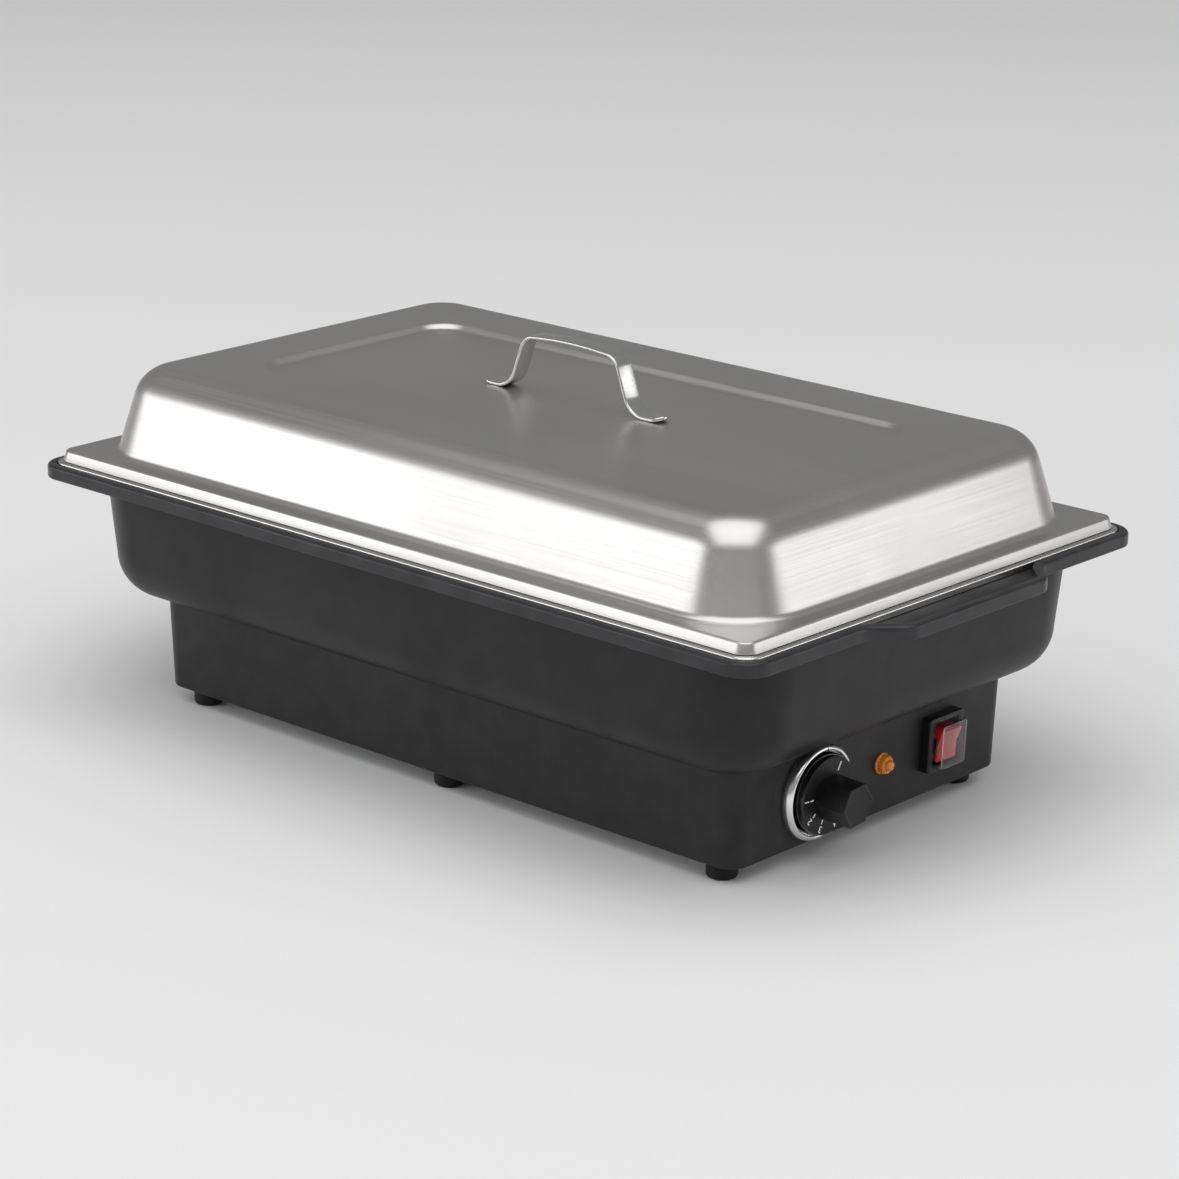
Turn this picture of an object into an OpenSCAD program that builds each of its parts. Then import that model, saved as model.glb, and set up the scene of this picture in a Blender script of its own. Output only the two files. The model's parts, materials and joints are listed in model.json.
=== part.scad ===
// Electric buffet server: a lidded gastronorm food pan standing in a water
// tank, on a base housing that holds the heater and its controls.
// X runs along the long axis, with the control panel at the +X end.
// The origin is at the bottom centre, with the feet standing on Z = 0.

/* [Food pan] */
// Length of the pan over its rim
pan_l = 530; // [520:1:540]
// Width of the pan over its rim
pan_w = 325; // [318:1:332]
// Depth of the pan from rim to floor
pan_depth = 65; // [55:1:68]
// Plan radius of the pan rim's corners
pan_rim_corner = 11; // [9:0.5:13]
// Gauge of the pan's sheet steel
pan_t = 0.8; // [0.6:0.1:1]

/* [Water tank] */
// Height of the tank from the base housing to the pan rim
tank_h = 81.3; // [79:0.1:90]
// Wall thickness of the tank moulding
tank_t = 2.5; // [2:0.1:3]
// How far the rim stands outside the tank wall
rim_overhang = 17.5; // [16:0.5:19]
// Height of the rim's outer band
rim_band_h = 8; // [7:0.5:9]
// Plan radius of the tank wall's corners
tank_corner = 42; // [38:1:44]
// Radius of the curve from tank wall to tank floor
tank_floor_round = 27; // [24:1:28]
// How far each carry tab stands out of the rim
tab_out = 17; // [10:1:20]
// Width of a carry tab across its outer edge
tab_tip_w = 116; // [100:1:130]

/* [Base housing] */
// Length of the base housing at its bottom edge
base_l = 440; // [436:1:444]
// Width of the base housing at its bottom edge
base_w = 232.6; // [230:0.2:236]
// Height of the base housing
base_h = 56.7; // [56:0.1:60]
// Draft of each base wall over its height
base_draft = 2.3; // [1.5:0.1:3]
// Plan radius of the base housing's corners
base_corner = 12; // [10:0.5:14]
// Wall thickness of the base housing
base_t = 2.5; // [2.3:0.1:2.7]
// Height of the rubber feet
foot_h = 11; // [9:0.5:13]
// Diameter of the rubber feet
foot_d = 17.4; // [16:0.2:19]

/* [Lid] */
// Length of the lid over its skirt
lid_l = 524; // [518:1:526]
// Width of the lid over its skirt
lid_w = 319; // [313:1:321]
// Height of the turned-down skirt
skirt_h = 6; // [5:0.5:7]
// Height of the dome above the flange
dome_h = 50.8; // [47:0.2:56]
// Width of the flat flange between skirt and dome
flange_w = 12.4; // [11:0.2:14]
// Plan radius of the dome's corners at the flange
dome_corner = 43; // [40:1:48]
// Slope of the dome wall from the vertical
dome_draft = 17.3; // [14:0.1:19]
// Radius of the dome's top edge
dome_round = 22.6; // [18:0.2:26]
// Length of the sunken top panel
panel_l = 368; // [360:1:376]
// Width of the sunken top panel
panel_w = 162; // [156:1:168]
// Depth of the sunken top panel
panel_sink = 3.2; // [2:0.1:4]
// Gauge of the lid's sheet steel
lid_t = 0.8; // [0.6:0.1:1]

/* [Lid handle] */
// Width of the handle strap
strap_w = 12; // [10:0.5:16]
// Thickness of the handle strap
strap_t = 2; // [1.6:0.1:2.4]
// Half length of the crowned top of the handle
grip_half = 27; // [24:0.5:30]

/* [Controls] */
// Height of the controls above the table
controls_z = 40.3; // [39.5:0.1:41]
// Sideways place of the thermostat knob
knob_y = -52.4; // [-56:0.2:-50]
// Sideways place of the pilot lamp
lamp_y = 5.6; // [3:0.2:8]
// Sideways place of the mains switch
switch_y = 55.2; // [52:0.2:58]
// Outer diameter of the chrome bezel
bezel_d = 54; // [53:0.5:54.5]
// How far the knob's grip stands out of the panel
knob_out = 30; // [27:0.5:33]
// Width of the hexagonal grip across its corners
grip_d = 25.2; // [23:0.2:27]
// Turn of the knob at its off position
knob_rest = 26; // [0:1:30]

/* [Hidden] */
$fn = 64;
EPS = 0.01;

// Heights
Z_BASE_TOP = foot_h + base_h;
Z_RIM = Z_BASE_TOP + tank_h;
PAN_SEAT_GAP = 0.3;
Z_LEDGE = Z_RIM - 4.3;
Z_LIP = Z_RIM - 1;
Z_TANK_FLOOR = Z_BASE_TOP + tank_t;
Z_SKIRT = Z_RIM + PAN_SEAT_GAP;
Z_FLANGE = Z_SKIRT + skirt_h;
Z_LID_TOP = Z_FLANGE + dome_h - 0.4;
Z_PANEL = Z_LID_TOP - panel_sink;

// Rim of the tank: a lip round the pan rim, 0.4 mm clear of it
LIP_CLEARANCE = 0.4;
LIP_W = 5.6;
RIM_HX = pan_l / 2 + LIP_CLEARANCE + LIP_W;
RIM_HY = pan_w / 2 + LIP_CLEARANCE + LIP_W;
RIM_CORNER = pan_rim_corner + LIP_CLEARANCE + LIP_W;
TAB_TIP = tab_tip_w / 2;
TAB_ROOT = TAB_TIP + tab_out;
TAB_ROUND = 5;
TAB_POINTS = 16;
WALL_HX = RIM_HX - rim_overhang;
WALL_HY = RIM_HY - rim_overhang;
WALL_DRAFT = 4;
WALL_END_Z = Z_BASE_TOP + tank_floor_round;

// Base housing
FLANGE_HX = 188;
FLANGE_HY = 92;
BASE_EDGE = 1.5;
PANEL_TILT = atan(base_draft / base_h);
PLATE_T = 1.2;
PLATE_LIFT = 1.5;
Z_PLATE = foot_h + PLATE_LIFT;

// Feet stand in two rows of three
FOOT_X = base_l / 2 - 20;
FOOT_Y = base_w / 2 - 15.3;
FEET = [for (y = [-FOOT_Y, FOOT_Y]) for (x = [-FOOT_X, 0, FOOT_X]) [x, y]];
PLATE_SCREWS = [for (x = [-100, 100]) for (y = [-FOOT_Y, FOOT_Y]) [x, y]];
TANK_SCREWS = [for (x = [-150, 0, 150]) for (y = [-104, 104]) [x, y]];
BOSS_D = 10;
BOSS_H = 14;
FOOT_SINK = 3;

// Heater, on the centre of the tank floor
HEATER_HOLE_D = 150;
HEATER_FLANGE_D = 176;
STUD_CIRCLE = 140;
STUDS = 8;
ELEMENT_R = 52;
ELEMENT_TUBE = 3.2;
SLEEVE_R = 4;
Z_HEATER_TOP = Z_TANK_FLOOR + 3.5;
HEATER_T = 1.5;
GASKET_T = 1.5;
CLAMP_T = 2;
PILLAR_R = 40;
CAPILLARY_DROP = [36, 26, 0];

// Knob, shaft and thermostat, measured outwards from the panel face
SHAFT_R = 3;
SHAFT_CLEARANCE = 0.05;
DIAL_FACE = 10.5;
DIAL_R = 21.7;
THERMO_SCREWS = [-14, 14];
PANEL_HOLE_D = 10.4;

// Mains switch, measured outwards from the panel face
FRAME_W = 30;
FRAME_H = 32;
FRAME_OUT = 6;
COVER_W = 22.2;
COVER_H = 26;
COVER_OUT = 12;
COVER_T = 0.8;
ROCKER_W = 17;
ROCKER_PIVOT = 4.4;
ROCKER_TILT = 10;
ROCKER_HALF = 9.6;

ARC = 8;

// ---------- shared shapes ----------

// Quarter arc of n steps, from angle a on
function quarter(cx, cy, r, a, n) =
    [for (i = [0:n]) [cx + r * cos(a + 90 * i / n), cy + r * sin(a + 90 * i / n)]];

// One ring of a lofted shell: a rounded rectangle at height z
function ring(hx, hy, r, z) =
    let (x = hx - r, y = hy - r)
    [for (p = concat(quarter(x, y, r, 0, ARC), quarter(-x, y, r, 90, ARC),
        quarter(-x, -y, r, 180, ARC), quarter(x, -y, r, 270, ARC))) [p[0], p[1], z]];

// A corner at b between a and c, rounded by a short curve of four points
function soft_corner(a, b, c, r) =
    let (p = b + r * (a - b) / norm(a - b), q = b + r * (c - b) / norm(c - b))
    [for (t = [0:1/3:1.01]) (1 - t) * (1 - t) * p + 2 * t * (1 - t) * b + t * t * q];

// The outline of one end's carry tab, from -Y to +Y, standing out by tab
function tab_outline(hx, out, inset) =
    let (root = TAB_ROOT - 0.414 * inset, tip = TAB_TIP - 0.414 * inset,
        p = [[hx, -root - 20], [hx, -root], [hx + out, -tip], [hx + out, tip],
            [hx, root], [hx, root + 20]])
    [for (i = [1:4]) for (q = soft_corner(p[i - 1], p[i], p[i + 1], TAB_ROUND)) q];

// One ring of the tank: a rounded rectangle with a tab on both ends
function tank_ring(hx, hy, r, z, out, inset) =
    let (x = hx - r, y = hy - r, tab = tab_outline(hx, out, inset))
    [for (p = concat(tab, quarter(x, y, r, 0, ARC), quarter(-x, y, r, 90, ARC), -tab,
        quarter(-x, -y, r, 180, ARC), quarter(x, -y, r, 270, ARC))) [p[0], p[1], z]];

// A ring that follows the rim's own outline, inset from its outer face
function rim_ring(inset, z) =
    tank_ring(RIM_HX - inset, RIM_HY - inset, RIM_CORNER - inset, z, tab_out, inset);

// A ring that follows the tank wall, inset from its outer face
function wall_ring(inset, z) =
    tank_ring(WALL_HX - inset, WALL_HY - inset, tank_corner - inset, z, 0, LIP_W);

// Triangles between two neighbouring rings of n points
function band(a, b, n) =
    [for (j = [0:n - 1]) let (k = (j + 1) % n)
        for (f = [[a + j, b + j, b + k], [a + j, b + k, a + k]]) f];

// Closed shell through rings: the first ring's cap faces down and the last one's up
module loft(rings) {
    n = len(rings[0]);
    last = len(rings) - 1;
    polyhedron(
        points = [for (r = rings) each r],
        faces = concat(
            [[for (j = [0:n - 1]) j]],
            [for (i = [0:last - 1]) each band(i * n, (i + 1) * n, n)],
            [[for (j = [n - 1:-1:0]) last * n + j]]));
}

// Closed tube wall through rings: the last ring joins the first
module loft_loop(rings) {
    n = len(rings[0]);
    m = len(rings);
    polyhedron(
        points = [for (r = rings) each r],
        faces = [for (i = [0:m - 1]) each band(i * n, ((i + 1) % m) * n, n)]);
}

// A profile entry is [hx, hy, corner radius, z, angle of the surface's normal].
// The sheet's other side lies t behind it.
function behind(p, t) =
    [p[0] - t * cos(p[4]), p[1] - t * cos(p[4]), p[2] - t * cos(p[4]), p[3] - t * sin(p[4]), p[4]];

// Pressed sheet: rings along the back of the profile, then along its face
module pressed_sheet(profile, t) {
    last = len(profile) - 1;
    back = [for (i = [last:-1:0]) behind(profile[i], t)];
    loft([for (p = concat(back, profile)) ring(p[0], p[1], p[2], p[3])]);
}

// Places children on the control panel, with +X out of the panel
module on_panel(y, z) {
    translate([base_l / 2 + base_draft * (z - foot_h) / base_h, y, z])
        rotate([0, PANEL_TILT, 0]) children();
}

// Places children on the rear wall, with +X out of the wall
module on_rear(y, z) {
    mirror([1, 0, 0]) on_panel(y, z) children();
}

// A solid of revolution about the local X axis, from a profile of [out, radius] points
module turned_x(profile) {
    rotate([0, 90, 0]) rotate_extrude() polygon([for (p = profile) [p[1], p[0]]]);
}

// A round bar along X from a to b
module bar_x(r, a, b) {
    translate([a, 0, 0]) rotate([0, 90, 0]) cylinder(r = r, h = b - a);
}

// A box centred on the local X axis from a to b
module block_x(w, h, a, b) {
    translate([a, -w / 2, -h / 2]) cube([b - a, w, h]);
}

// A pan-head screw pointing up, its head's underside at the origin
module screw_up(d, length, head_d, head_h) {
    cylinder(d = d, h = length);
    translate([0, 0, -head_h]) difference() {
        cylinder(d = head_d, h = head_h);
        translate([-head_d / 2, -0.5, -EPS]) cube([head_d, 1, 0.8]);
        translate([-0.5, -head_d / 2, -EPS]) cube([1, head_d, 0.8]);
    }
}

// A hexagonal nut round a hole
module hex_nut(across, height, hole) {
    difference() {
        cylinder(d = across / cos(30), h = height, $fn = 6);
        translate([0, 0, -1]) cylinder(d = hole, h = height + 2);
    }
}

// A round wire through points, with ball joints at its bends
module wire(points, r) {
    for (i = [0:len(points) - 2]) {
        step = points[i + 1] - points[i];
        translate(points[i])
            rotate([0, acos(step[2] / norm(step)), atan2(step[1], step[0])])
            cylinder(r = r, h = norm(step));
    }
    for (i = [1:len(points) - 2]) translate(points[i]) sphere(r = 1.15 * r);
}

// A thin bent tube through points, with one eight-sided ring at each
module bent_tube(points, r) {
    last = len(points) - 1;
    loft([for (i = [0:last]) let (
        d = points[min(i + 1, last)] - points[max(i - 1, 0)],
        u = cross(d, [0.2, 0.9, 0.4]) / norm(cross(d, [0.2, 0.9, 0.4])),
        v = cross(d, u) / norm(d))
        [for (a = [0:45:315]) points[i] + r * (cos(a) * u + sin(a) * v)]]);
}

// ---------- water tank ----------

module water_tank() {
    lift = tank_floor_round;
    under = concat(
        [for (a = [90:-18:0])
            wall_ring(WALL_DRAFT + lift * (1 - cos(a)), WALL_END_Z - lift * sin(a))],
        [wall_ring(0, Z_LEDGE - tank_t - 1.2)],
        [wall_ring(-1.2, Z_LEDGE - tank_t)],
        [rim_ring(tank_t + 0.3, Z_LEDGE - tank_t)],
        [rim_ring(tank_t, Z_LIP - rim_band_h + 0.3)]);
    edge = [
        rim_ring(tank_t - 0.3, Z_LIP - rim_band_h),
        rim_ring(0.6, Z_LIP - rim_band_h),
        rim_ring(0, Z_LIP - rim_band_h + 0.6),
        rim_ring(0, Z_LIP - 2.2),
        rim_ring(0.35, Z_LIP - 1),
        rim_ring(1.2, Z_LIP - 0.25),
        rim_ring(2.2, Z_LIP),
        rim_ring(4.4, Z_LIP),
        rim_ring(5.2, Z_LIP - 0.3),
        rim_ring(LIP_W, Z_LIP - 1)];
    n = len(wall_ring(0, 0));
    hole = function(z) [for (i = [0:n - 1]) let (a = 360 * (i - (TAB_POINTS - 1) / 2) / n)
        [HEATER_HOLE_D / 2 * cos(a), HEATER_HOLE_D / 2 * sin(a), z]];
    inside = concat(
        [rim_ring(LIP_W, Z_LEDGE)],
        [wall_ring(tank_t - 2, Z_LEDGE)],
        [wall_ring(tank_t, Z_LEDGE - 2)],
        [for (a = [0:18:90])
            wall_ring(WALL_DRAFT + tank_t + (lift - tank_t) * (1 - cos(a)),
                WALL_END_Z - (lift - tank_t) * sin(a))]);
    color("#232325") difference() {
        union() {
            loft_loop(concat([hole(Z_BASE_TOP)], under, edge, inside, [hole(Z_TANK_FLOOR)]));
            for (p = TANK_SCREWS)
                translate([p[0], p[1], Z_BASE_TOP - base_t + 0.2]) cylinder(d = BOSS_D, h = base_t + 5);
        }
        for (p = TANK_SCREWS)
            translate([p[0], p[1], Z_BASE_TOP - base_t]) cylinder(d = 3, h = base_t + 3.5);
    }
}

// ---------- base housing ----------

module base_housing() {
    hx = base_l / 2;
    hy = base_w / 2;
    r = base_corner;
    wall = function(z, inset) let (s = base_draft * (z - foot_h) / base_h - inset)
        ring(hx + s, hy + s, r + s, z);
    rings = [
        wall(foot_h, 1),
        wall(foot_h + 0.4, 0.3),
        wall(foot_h + 1.2, 0),
        wall(Z_BASE_TOP - BASE_EDGE, 0),
        wall(Z_BASE_TOP - 0.4, 0.4),
        wall(Z_BASE_TOP, BASE_EDGE),
        ring(FLANGE_HX, FLANGE_HY, 20, Z_BASE_TOP),
        ring(FLANGE_HX, FLANGE_HY, 20, Z_BASE_TOP - base_t),
        wall(Z_BASE_TOP - base_t, base_t),
        wall(foot_h, base_t)];
    color("#252527") difference() {
        union() {
            loft_loop(rings);
            for (p = concat(FEET, PLATE_SCREWS)) {
                sy = sign(p[1]);
                translate([p[0], p[1], Z_PLATE + PLATE_T]) cylinder(d = BOSS_D, h = BOSS_H);
                translate([p[0] - 1, sy > 0 ? p[1] : -base_w / 2 + base_t - 1, Z_PLATE + PLATE_T])
                    cube([2, base_w / 2 - base_t + 1 - abs(p[1]), BOSS_H]);
            }
        }
        for (p = concat(FEET, PLATE_SCREWS))
            translate([p[0], p[1], Z_PLATE]) cylinder(d = 3, h = PLATE_T + BOSS_H - 2);
        for (p = TANK_SCREWS)
            translate([p[0], p[1], Z_BASE_TOP - base_t - 1]) cylinder(d = BOSS_D + 0.3, h = base_t + 2);
        on_panel(knob_y, controls_z) {
            bar_x(PANEL_HOLE_D / 2, -4, 2);
            for (y = THERMO_SCREWS) translate([0, y, 0]) bar_x(2.2, -4, 2);
        }
        on_panel(lamp_y, controls_z) bar_x(5.1, -4, 2);
        on_panel(switch_y, controls_z + 1.2) block_x(22, 27, -4, 2);
        on_rear(0, controls_z) bar_x(8.1, -4, 2);
    }
}

module bottom_plate() {
    hx = base_l / 2 - base_t - 0.4;
    hy = base_w / 2 - base_t - 0.4;
    r = base_corner - base_t - 0.4;
    color("#8d9094") difference() {
        translate([0, 0, Z_PLATE]) linear_extrude(PLATE_T) difference() {
            square([2 * hx, 2 * hy], center = true);
            for (sx = [-1, 1]) for (sy = [-1, 1]) translate([sx * hx, sy * hy]) difference() {
                square(2 * r, center = true);
                translate([-sx * r, -sy * r]) circle(r);
            }
        }
        for (p = concat(FEET, PLATE_SCREWS)) translate([p[0], p[1], foot_h]) cylinder(d = 4.4, h = 8);
        for (x = [-120:20:120]) for (y = [-60, 60])
            translate([x - 2.5, y - 16, foot_h]) cube([5, 32, 8]);
    }
}

module foot(i) {
    color("#1d1d1e") translate([FEET[i][0], FEET[i][1], 0]) difference() {
        rotate_extrude() polygon(concat(
            [[0, 0]],
            [for (a = [-90:15:0]) [foot_d / 2 - 2.5 + 2.5 * cos(a), 2.5 + 2.5 * sin(a)]],
            [[foot_d / 2, Z_PLATE], [0, Z_PLATE]]));
        translate([0, 0, -1]) cylinder(d = 9, h = FOOT_SINK + 1);
        cylinder(d = 4.4, h = foot_h + 4);
    }
}
module foot_1() { foot(0); }
module foot_2() { foot(1); }
module foot_3() { foot(2); }
module foot_4() { foot(3); }
module foot_5() { foot(4); }
module foot_6() { foot(5); }

module foot_screws() {
    color("silver") for (p = FEET)
        translate([p[0], p[1], FOOT_SINK]) screw_up(3, 20, 7, 2);
}

module plate_screws() {
    color("silver") for (p = PLATE_SCREWS)
        translate([p[0], p[1], Z_PLATE]) screw_up(3, 10, 6, 1.4);
}

module tank_screws() {
    color("silver") for (p = TANK_SCREWS)
        translate([p[0], p[1], Z_BASE_TOP - base_t]) screw_up(3, 5.5, 13, 2);
}

// ---------- heater ----------

// Places children on each stud of the heater flange
module on_studs() {
    for (i = [0:STUDS - 1]) rotate([0, 0, 360 * (i + 0.5) / STUDS])
        translate([STUD_CIRCLE / 2, 0, 0]) children();
}

module heater_plate() {
    z = Z_TANK_FLOOR + GASKET_T;
    color("#b9bcc0") {
        rotate_extrude() polygon([[0, Z_HEATER_TOP + HEATER_T], [60, Z_HEATER_TOP + HEATER_T],
            [66, z + HEATER_T], [HEATER_FLANGE_D / 2, z + HEATER_T], [HEATER_FLANGE_D / 2, z],
            [65, z], [59, Z_HEATER_TOP], [0, Z_HEATER_TOP]]);
        on_studs() translate([0, 0, Z_BASE_TOP - 9]) cylinder(d = 4, h = z - Z_BASE_TOP + 9.5);
    }
}

module heater_gasket() {
    color("#a33a2c") translate([0, 0, Z_TANK_FLOOR]) difference() {
        cylinder(d = HEATER_FLANGE_D, h = GASKET_T);
        translate([0, 0, -1]) cylinder(d = HEATER_HOLE_D, h = GASKET_T + 2);
    }
}

module heater_clamp_ring() {
    color("#a4a7ab") difference() {
        translate([0, 0, Z_BASE_TOP - CLAMP_T]) difference() {
            cylinder(d = HEATER_FLANGE_D, h = CLAMP_T);
            translate([0, 0, -1]) cylinder(d = STUD_CIRCLE - 12, h = CLAMP_T + 2);
        }
        on_studs() translate([0, 0, Z_BASE_TOP - CLAMP_T - 1]) cylinder(d = 4.4, h = CLAMP_T + 2);
    }
}

module heater_nuts() {
    color("silver") on_studs() translate([0, 0, Z_BASE_TOP - CLAMP_T - 3.2]) hex_nut(7, 3.2, 4);
}

module heating_element() {
    z = Z_HEATER_TOP - ELEMENT_TUBE;
    gap = 18;
    color("#8b8479") {
        translate([0, 0, z]) rotate([0, 0, gap]) rotate_extrude(angle = 360 - 2 * gap)
            translate([ELEMENT_R, 0]) circle(ELEMENT_TUBE, $fn = 32);
        for (s = [-1, 1]) rotate([0, 0, s * gap]) translate([ELEMENT_R, 0, z]) {
            translate([0, 0, -22]) cylinder(r = SLEEVE_R, h = 22 + ELEMENT_TUBE);
        }
    }
}

module element_terminals() {
    z = Z_HEATER_TOP - ELEMENT_TUBE - 22;
    color("#e8e4da") for (s = [-1, 1]) rotate([0, 0, s * 18]) translate([ELEMENT_R, 0, z]) {
        translate([0, 0, -5]) cylinder(r = 4.6, h = 5);
        translate([-3.1, -0.4, -13]) cube([6.2, 0.8, 8]);
    }
}

// Places children on each pillar of the heat shield
module on_pillars() {
    for (a = [90, 210, 330]) rotate([0, 0, a]) translate([PILLAR_R, 0, 0]) children();
}

module heat_shield() {
    color("#c4c6c9") difference() {
        translate([0, 0, Z_BASE_TOP - 19]) cylinder(d = 150, h = 0.8);
        translate([0, 0, Z_BASE_TOP - 20]) {
            for (s = [-1, 1]) rotate([0, 0, s * 18]) translate([ELEMENT_R, 0, 0]) cylinder(r = 6, h = 4);
            on_pillars() cylinder(d = 4.2, h = 4);
            translate(CAPILLARY_DROP) cylinder(r = 3, h = 4);
            cylinder(d = 24, h = 4);
        }
    }
}

module shield_pillars() {
    color("silver") on_pillars() {
        translate([0, 0, Z_BASE_TOP - 18.2]) cylinder(d = 7, h = Z_HEATER_TOP - Z_BASE_TOP + 18.2);
        translate([0, 0, Z_BASE_TOP - 21]) cylinder(d = 7, h = 2);
        translate([0, 0, Z_BASE_TOP - 19.4]) cylinder(d = 4, h = 2);
    }
}

module cutout_bracket() {
    color("#a4a7ab") translate([0, 0, Z_HEATER_TOP - 1]) difference() {
        translate([-17, -7, 0]) cube([34, 14, 1]);
        translate([0, 0, -1]) cylinder(d = 8, h = 3);
    }
}

module thermal_cutout() {
    z = Z_HEATER_TOP - 1;
    color("#3b3530") {
        translate([0, 0, z - 9]) cylinder(d = 15.6, h = 9);
        for (s = [-1, 1]) translate([s * 9.5 - 3.5, -3.1, z - 7]) cube([7, 6.2, 0.8]);
    }
}

module sensor_bulb() {
    color("#b87a4b") translate([22, 30, Z_HEATER_TOP - 3]) rotate([0, -90, 0]) cylinder(r = 3, h = 56);
}

module bulb_clip() {
    z = Z_HEATER_TOP - 3;
    color("#a4a7ab") for (x = [-30, 6]) translate([x, 30, z]) difference() {
        union() {
            rotate([0, 90, 0]) cylinder(r = 3.8, h = 6);
            translate([0, -9, 2.2]) cube([6, 18, 0.8]);
        }
        translate([-1, 0, 0]) rotate([0, 90, 0]) cylinder(r = 3, h = 8);
        translate([-1, -10, 3]) cube([8, 20, 4]);
        translate([-1, -2.4, 0]) cube([8, 4.8, 4]);
    }
}

module capillary_tube() {
    z = Z_HEATER_TOP - 3;
    color("#b87a4b") bent_tube([[22, 30, z], [28, 30, z], [33, 28, z - 3],
        CAPILLARY_DROP + [0, 0, z - 10], CAPILLARY_DROP + [0, 0, 44], [40, 25, 38], [48, 24, 35],
        [62, 12, 34], [96, -34, 34], [110, -42, 34], [160, -46, 34], [180, -54, 35],
        [195, knob_y - 8, 37]], 0.8);
}

// ---------- thermostat and knob ----------

module thermostat_body() {
    color("#3b3c3e") on_panel(knob_y, controls_z) difference() {
        union() {
            block_x(38, 34, -26, -base_t);
            bar_x(PANEL_HOLE_D / 2 - 0.1, -base_t - 1, 0.6);
        }
        bar_x(SHAFT_R + SHAFT_CLEARANCE, -20, 2);
        for (y = THERMO_SCREWS) translate([0, y, 0]) bar_x(1.6, -12, 0);
    }
}

module thermostat_tabs() {
    color("silver") on_panel(knob_y, controls_z) for (y = [-12, 12]) for (z = [-8, 8])
        translate([0, y, z]) block_x(6.3, 0.8, -34, -26);
}

module thermostat_screws() {
    color("silver") on_panel(knob_y, controls_z) for (y = THERMO_SCREWS) translate([0, y, 0])
        rotate([0, -90, 0]) translate([0, 0, -1]) screw_up(3.2, 11, 7, 1.8);
}

module knob_bezel() {
    ro = bezel_d / 2;
    color("#d8dade") on_panel(knob_y, controls_z) difference() {
        turned_x([[0, PANEL_HOLE_D / 2 + 0.2], [0, ro - 0.4], [1, ro], [3.2, ro - 0.2],
            [4.8, ro - 0.9], [5.8, ro - 2], [6, ro - 2.6], [5.6, ro - 3.1], [4.8, ro - 3.4],
            [1, ro - 3.4], [1, PANEL_HOLE_D / 2 + 0.2]]);
        for (y = THERMO_SCREWS) translate([0, y, 0]) bar_x(1.7, -1, 2);
    }
}

module knob_grip() {
    color("#1c1c1e") on_panel(knob_y, controls_z) rotate([-knob_rest, 0, 0]) difference() {
        union() {
            turned_x([[1.8, 0], [1.8, DIAL_R + 1], [2.4, DIAL_R + 1.2], [DIAL_FACE - 0.6, DIAL_R + 0.2],
                [DIAL_FACE, DIAL_R - 0.4], [DIAL_FACE, 0]]);
            translate([DIAL_FACE - 1, 0, 0]) rotate([0, 90, 0]) rotate([0, 0, 30])
                cylinder(d = grip_d, h = knob_out - DIAL_FACE + 1, $fn = 6);
        }
        difference() {
            bar_x(DIAL_R - 1.5, 1, 8);
            bar_x(7, 0, 9);
        }
        difference() {
            bar_x(SHAFT_R, 0, 24);
            translate([8, -4, SHAFT_R - 1]) cube([20, 8, 4]);
        }
        bar_x(SHAFT_R + 0.8, 1, 8);
    }
}

module knob_clip() {
    color("#c9ccd0") on_panel(knob_y, controls_z) difference() {
        bar_x(SHAFT_R + 0.8, 2.4, 7.6);
        bar_x(SHAFT_R, 0, 10);
        translate([0, -1, 0]) cube([10, 2, 6]);
    }
}

module thermostat_shaft() {
    color("#c9ccd0") on_panel(knob_y, controls_z) rotate([-knob_rest, 0, 0]) difference() {
        bar_x(SHAFT_R, -18, 24);
        translate([8, -4, SHAFT_R - 1]) cube([20, 8, 4]);
    }
}

// ---------- pilot lamp ----------

module pilot_lens() {
    color("#f08a1c") on_panel(lamp_y, controls_z) turned_x(concat(
        [[0, 0], [0, 6], [0.9, 6], [1.1, 5.5], [4.2, 5.3]],
        [for (a = [15:15:75]) [4.2 + 3.6 * sin(a), 5.3 * cos(a)]],
        [[7.8, 0]]));
}

module pilot_body() {
    color("#3a3a3c") on_panel(lamp_y, controls_z) {
        bar_x(5, -20, 0);
        bar_x(3.8, -26, -20);
    }
}

module pilot_nut() {
    color("#3a3a3c") on_panel(lamp_y, controls_z) translate([-base_t - 4, 0, 0])
        rotate([0, 90, 0]) hex_nut(13, 4, 10);
}

module pilot_tabs() {
    color("silver") on_panel(lamp_y, controls_z) for (y = [-2.2, 2.2])
        translate([0, y, 0]) block_x(0.8, 4.8, -34, -26);
}

// ---------- mains switch ----------

module on_switch() {
    on_panel(switch_y, controls_z + 1.2) children();
}

module switch_frame() {
    color("#1c1c1e") on_switch() difference() {
        union() {
            block_x(FRAME_W, FRAME_H, 0, FRAME_OUT - 0.8);
            block_x(FRAME_W - 1.4, FRAME_H - 1.4, 0, FRAME_OUT);
        }
        block_x(COVER_W, COVER_H, FRAME_OUT - 2, FRAME_OUT + 1);
        block_x(COVER_W - 2 * COVER_T - 0.4, COVER_H - 2 * COVER_T - 0.4, -1, FRAME_OUT);
    }
}

module switch_body() {
    color("#2a2a2c") on_switch() difference() {
        union() {
            block_x(21.6, 26.6, -26, 0);
            for (s = [-1, 1]) translate([0, s * (ROCKER_W / 2 + 0.95), 0])
                block_x(1.2, 8, -4, ROCKER_PIVOT + 2.6);
        }
        block_x(ROCKER_W + 0.7, 23.4, -9, 1);
        translate([ROCKER_PIVOT, 0, 0]) rotate([90, 0, 0])
            cylinder(r = 1.5 + SHAFT_CLEARANCE, h = 30, center = true);
    }
}

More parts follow.
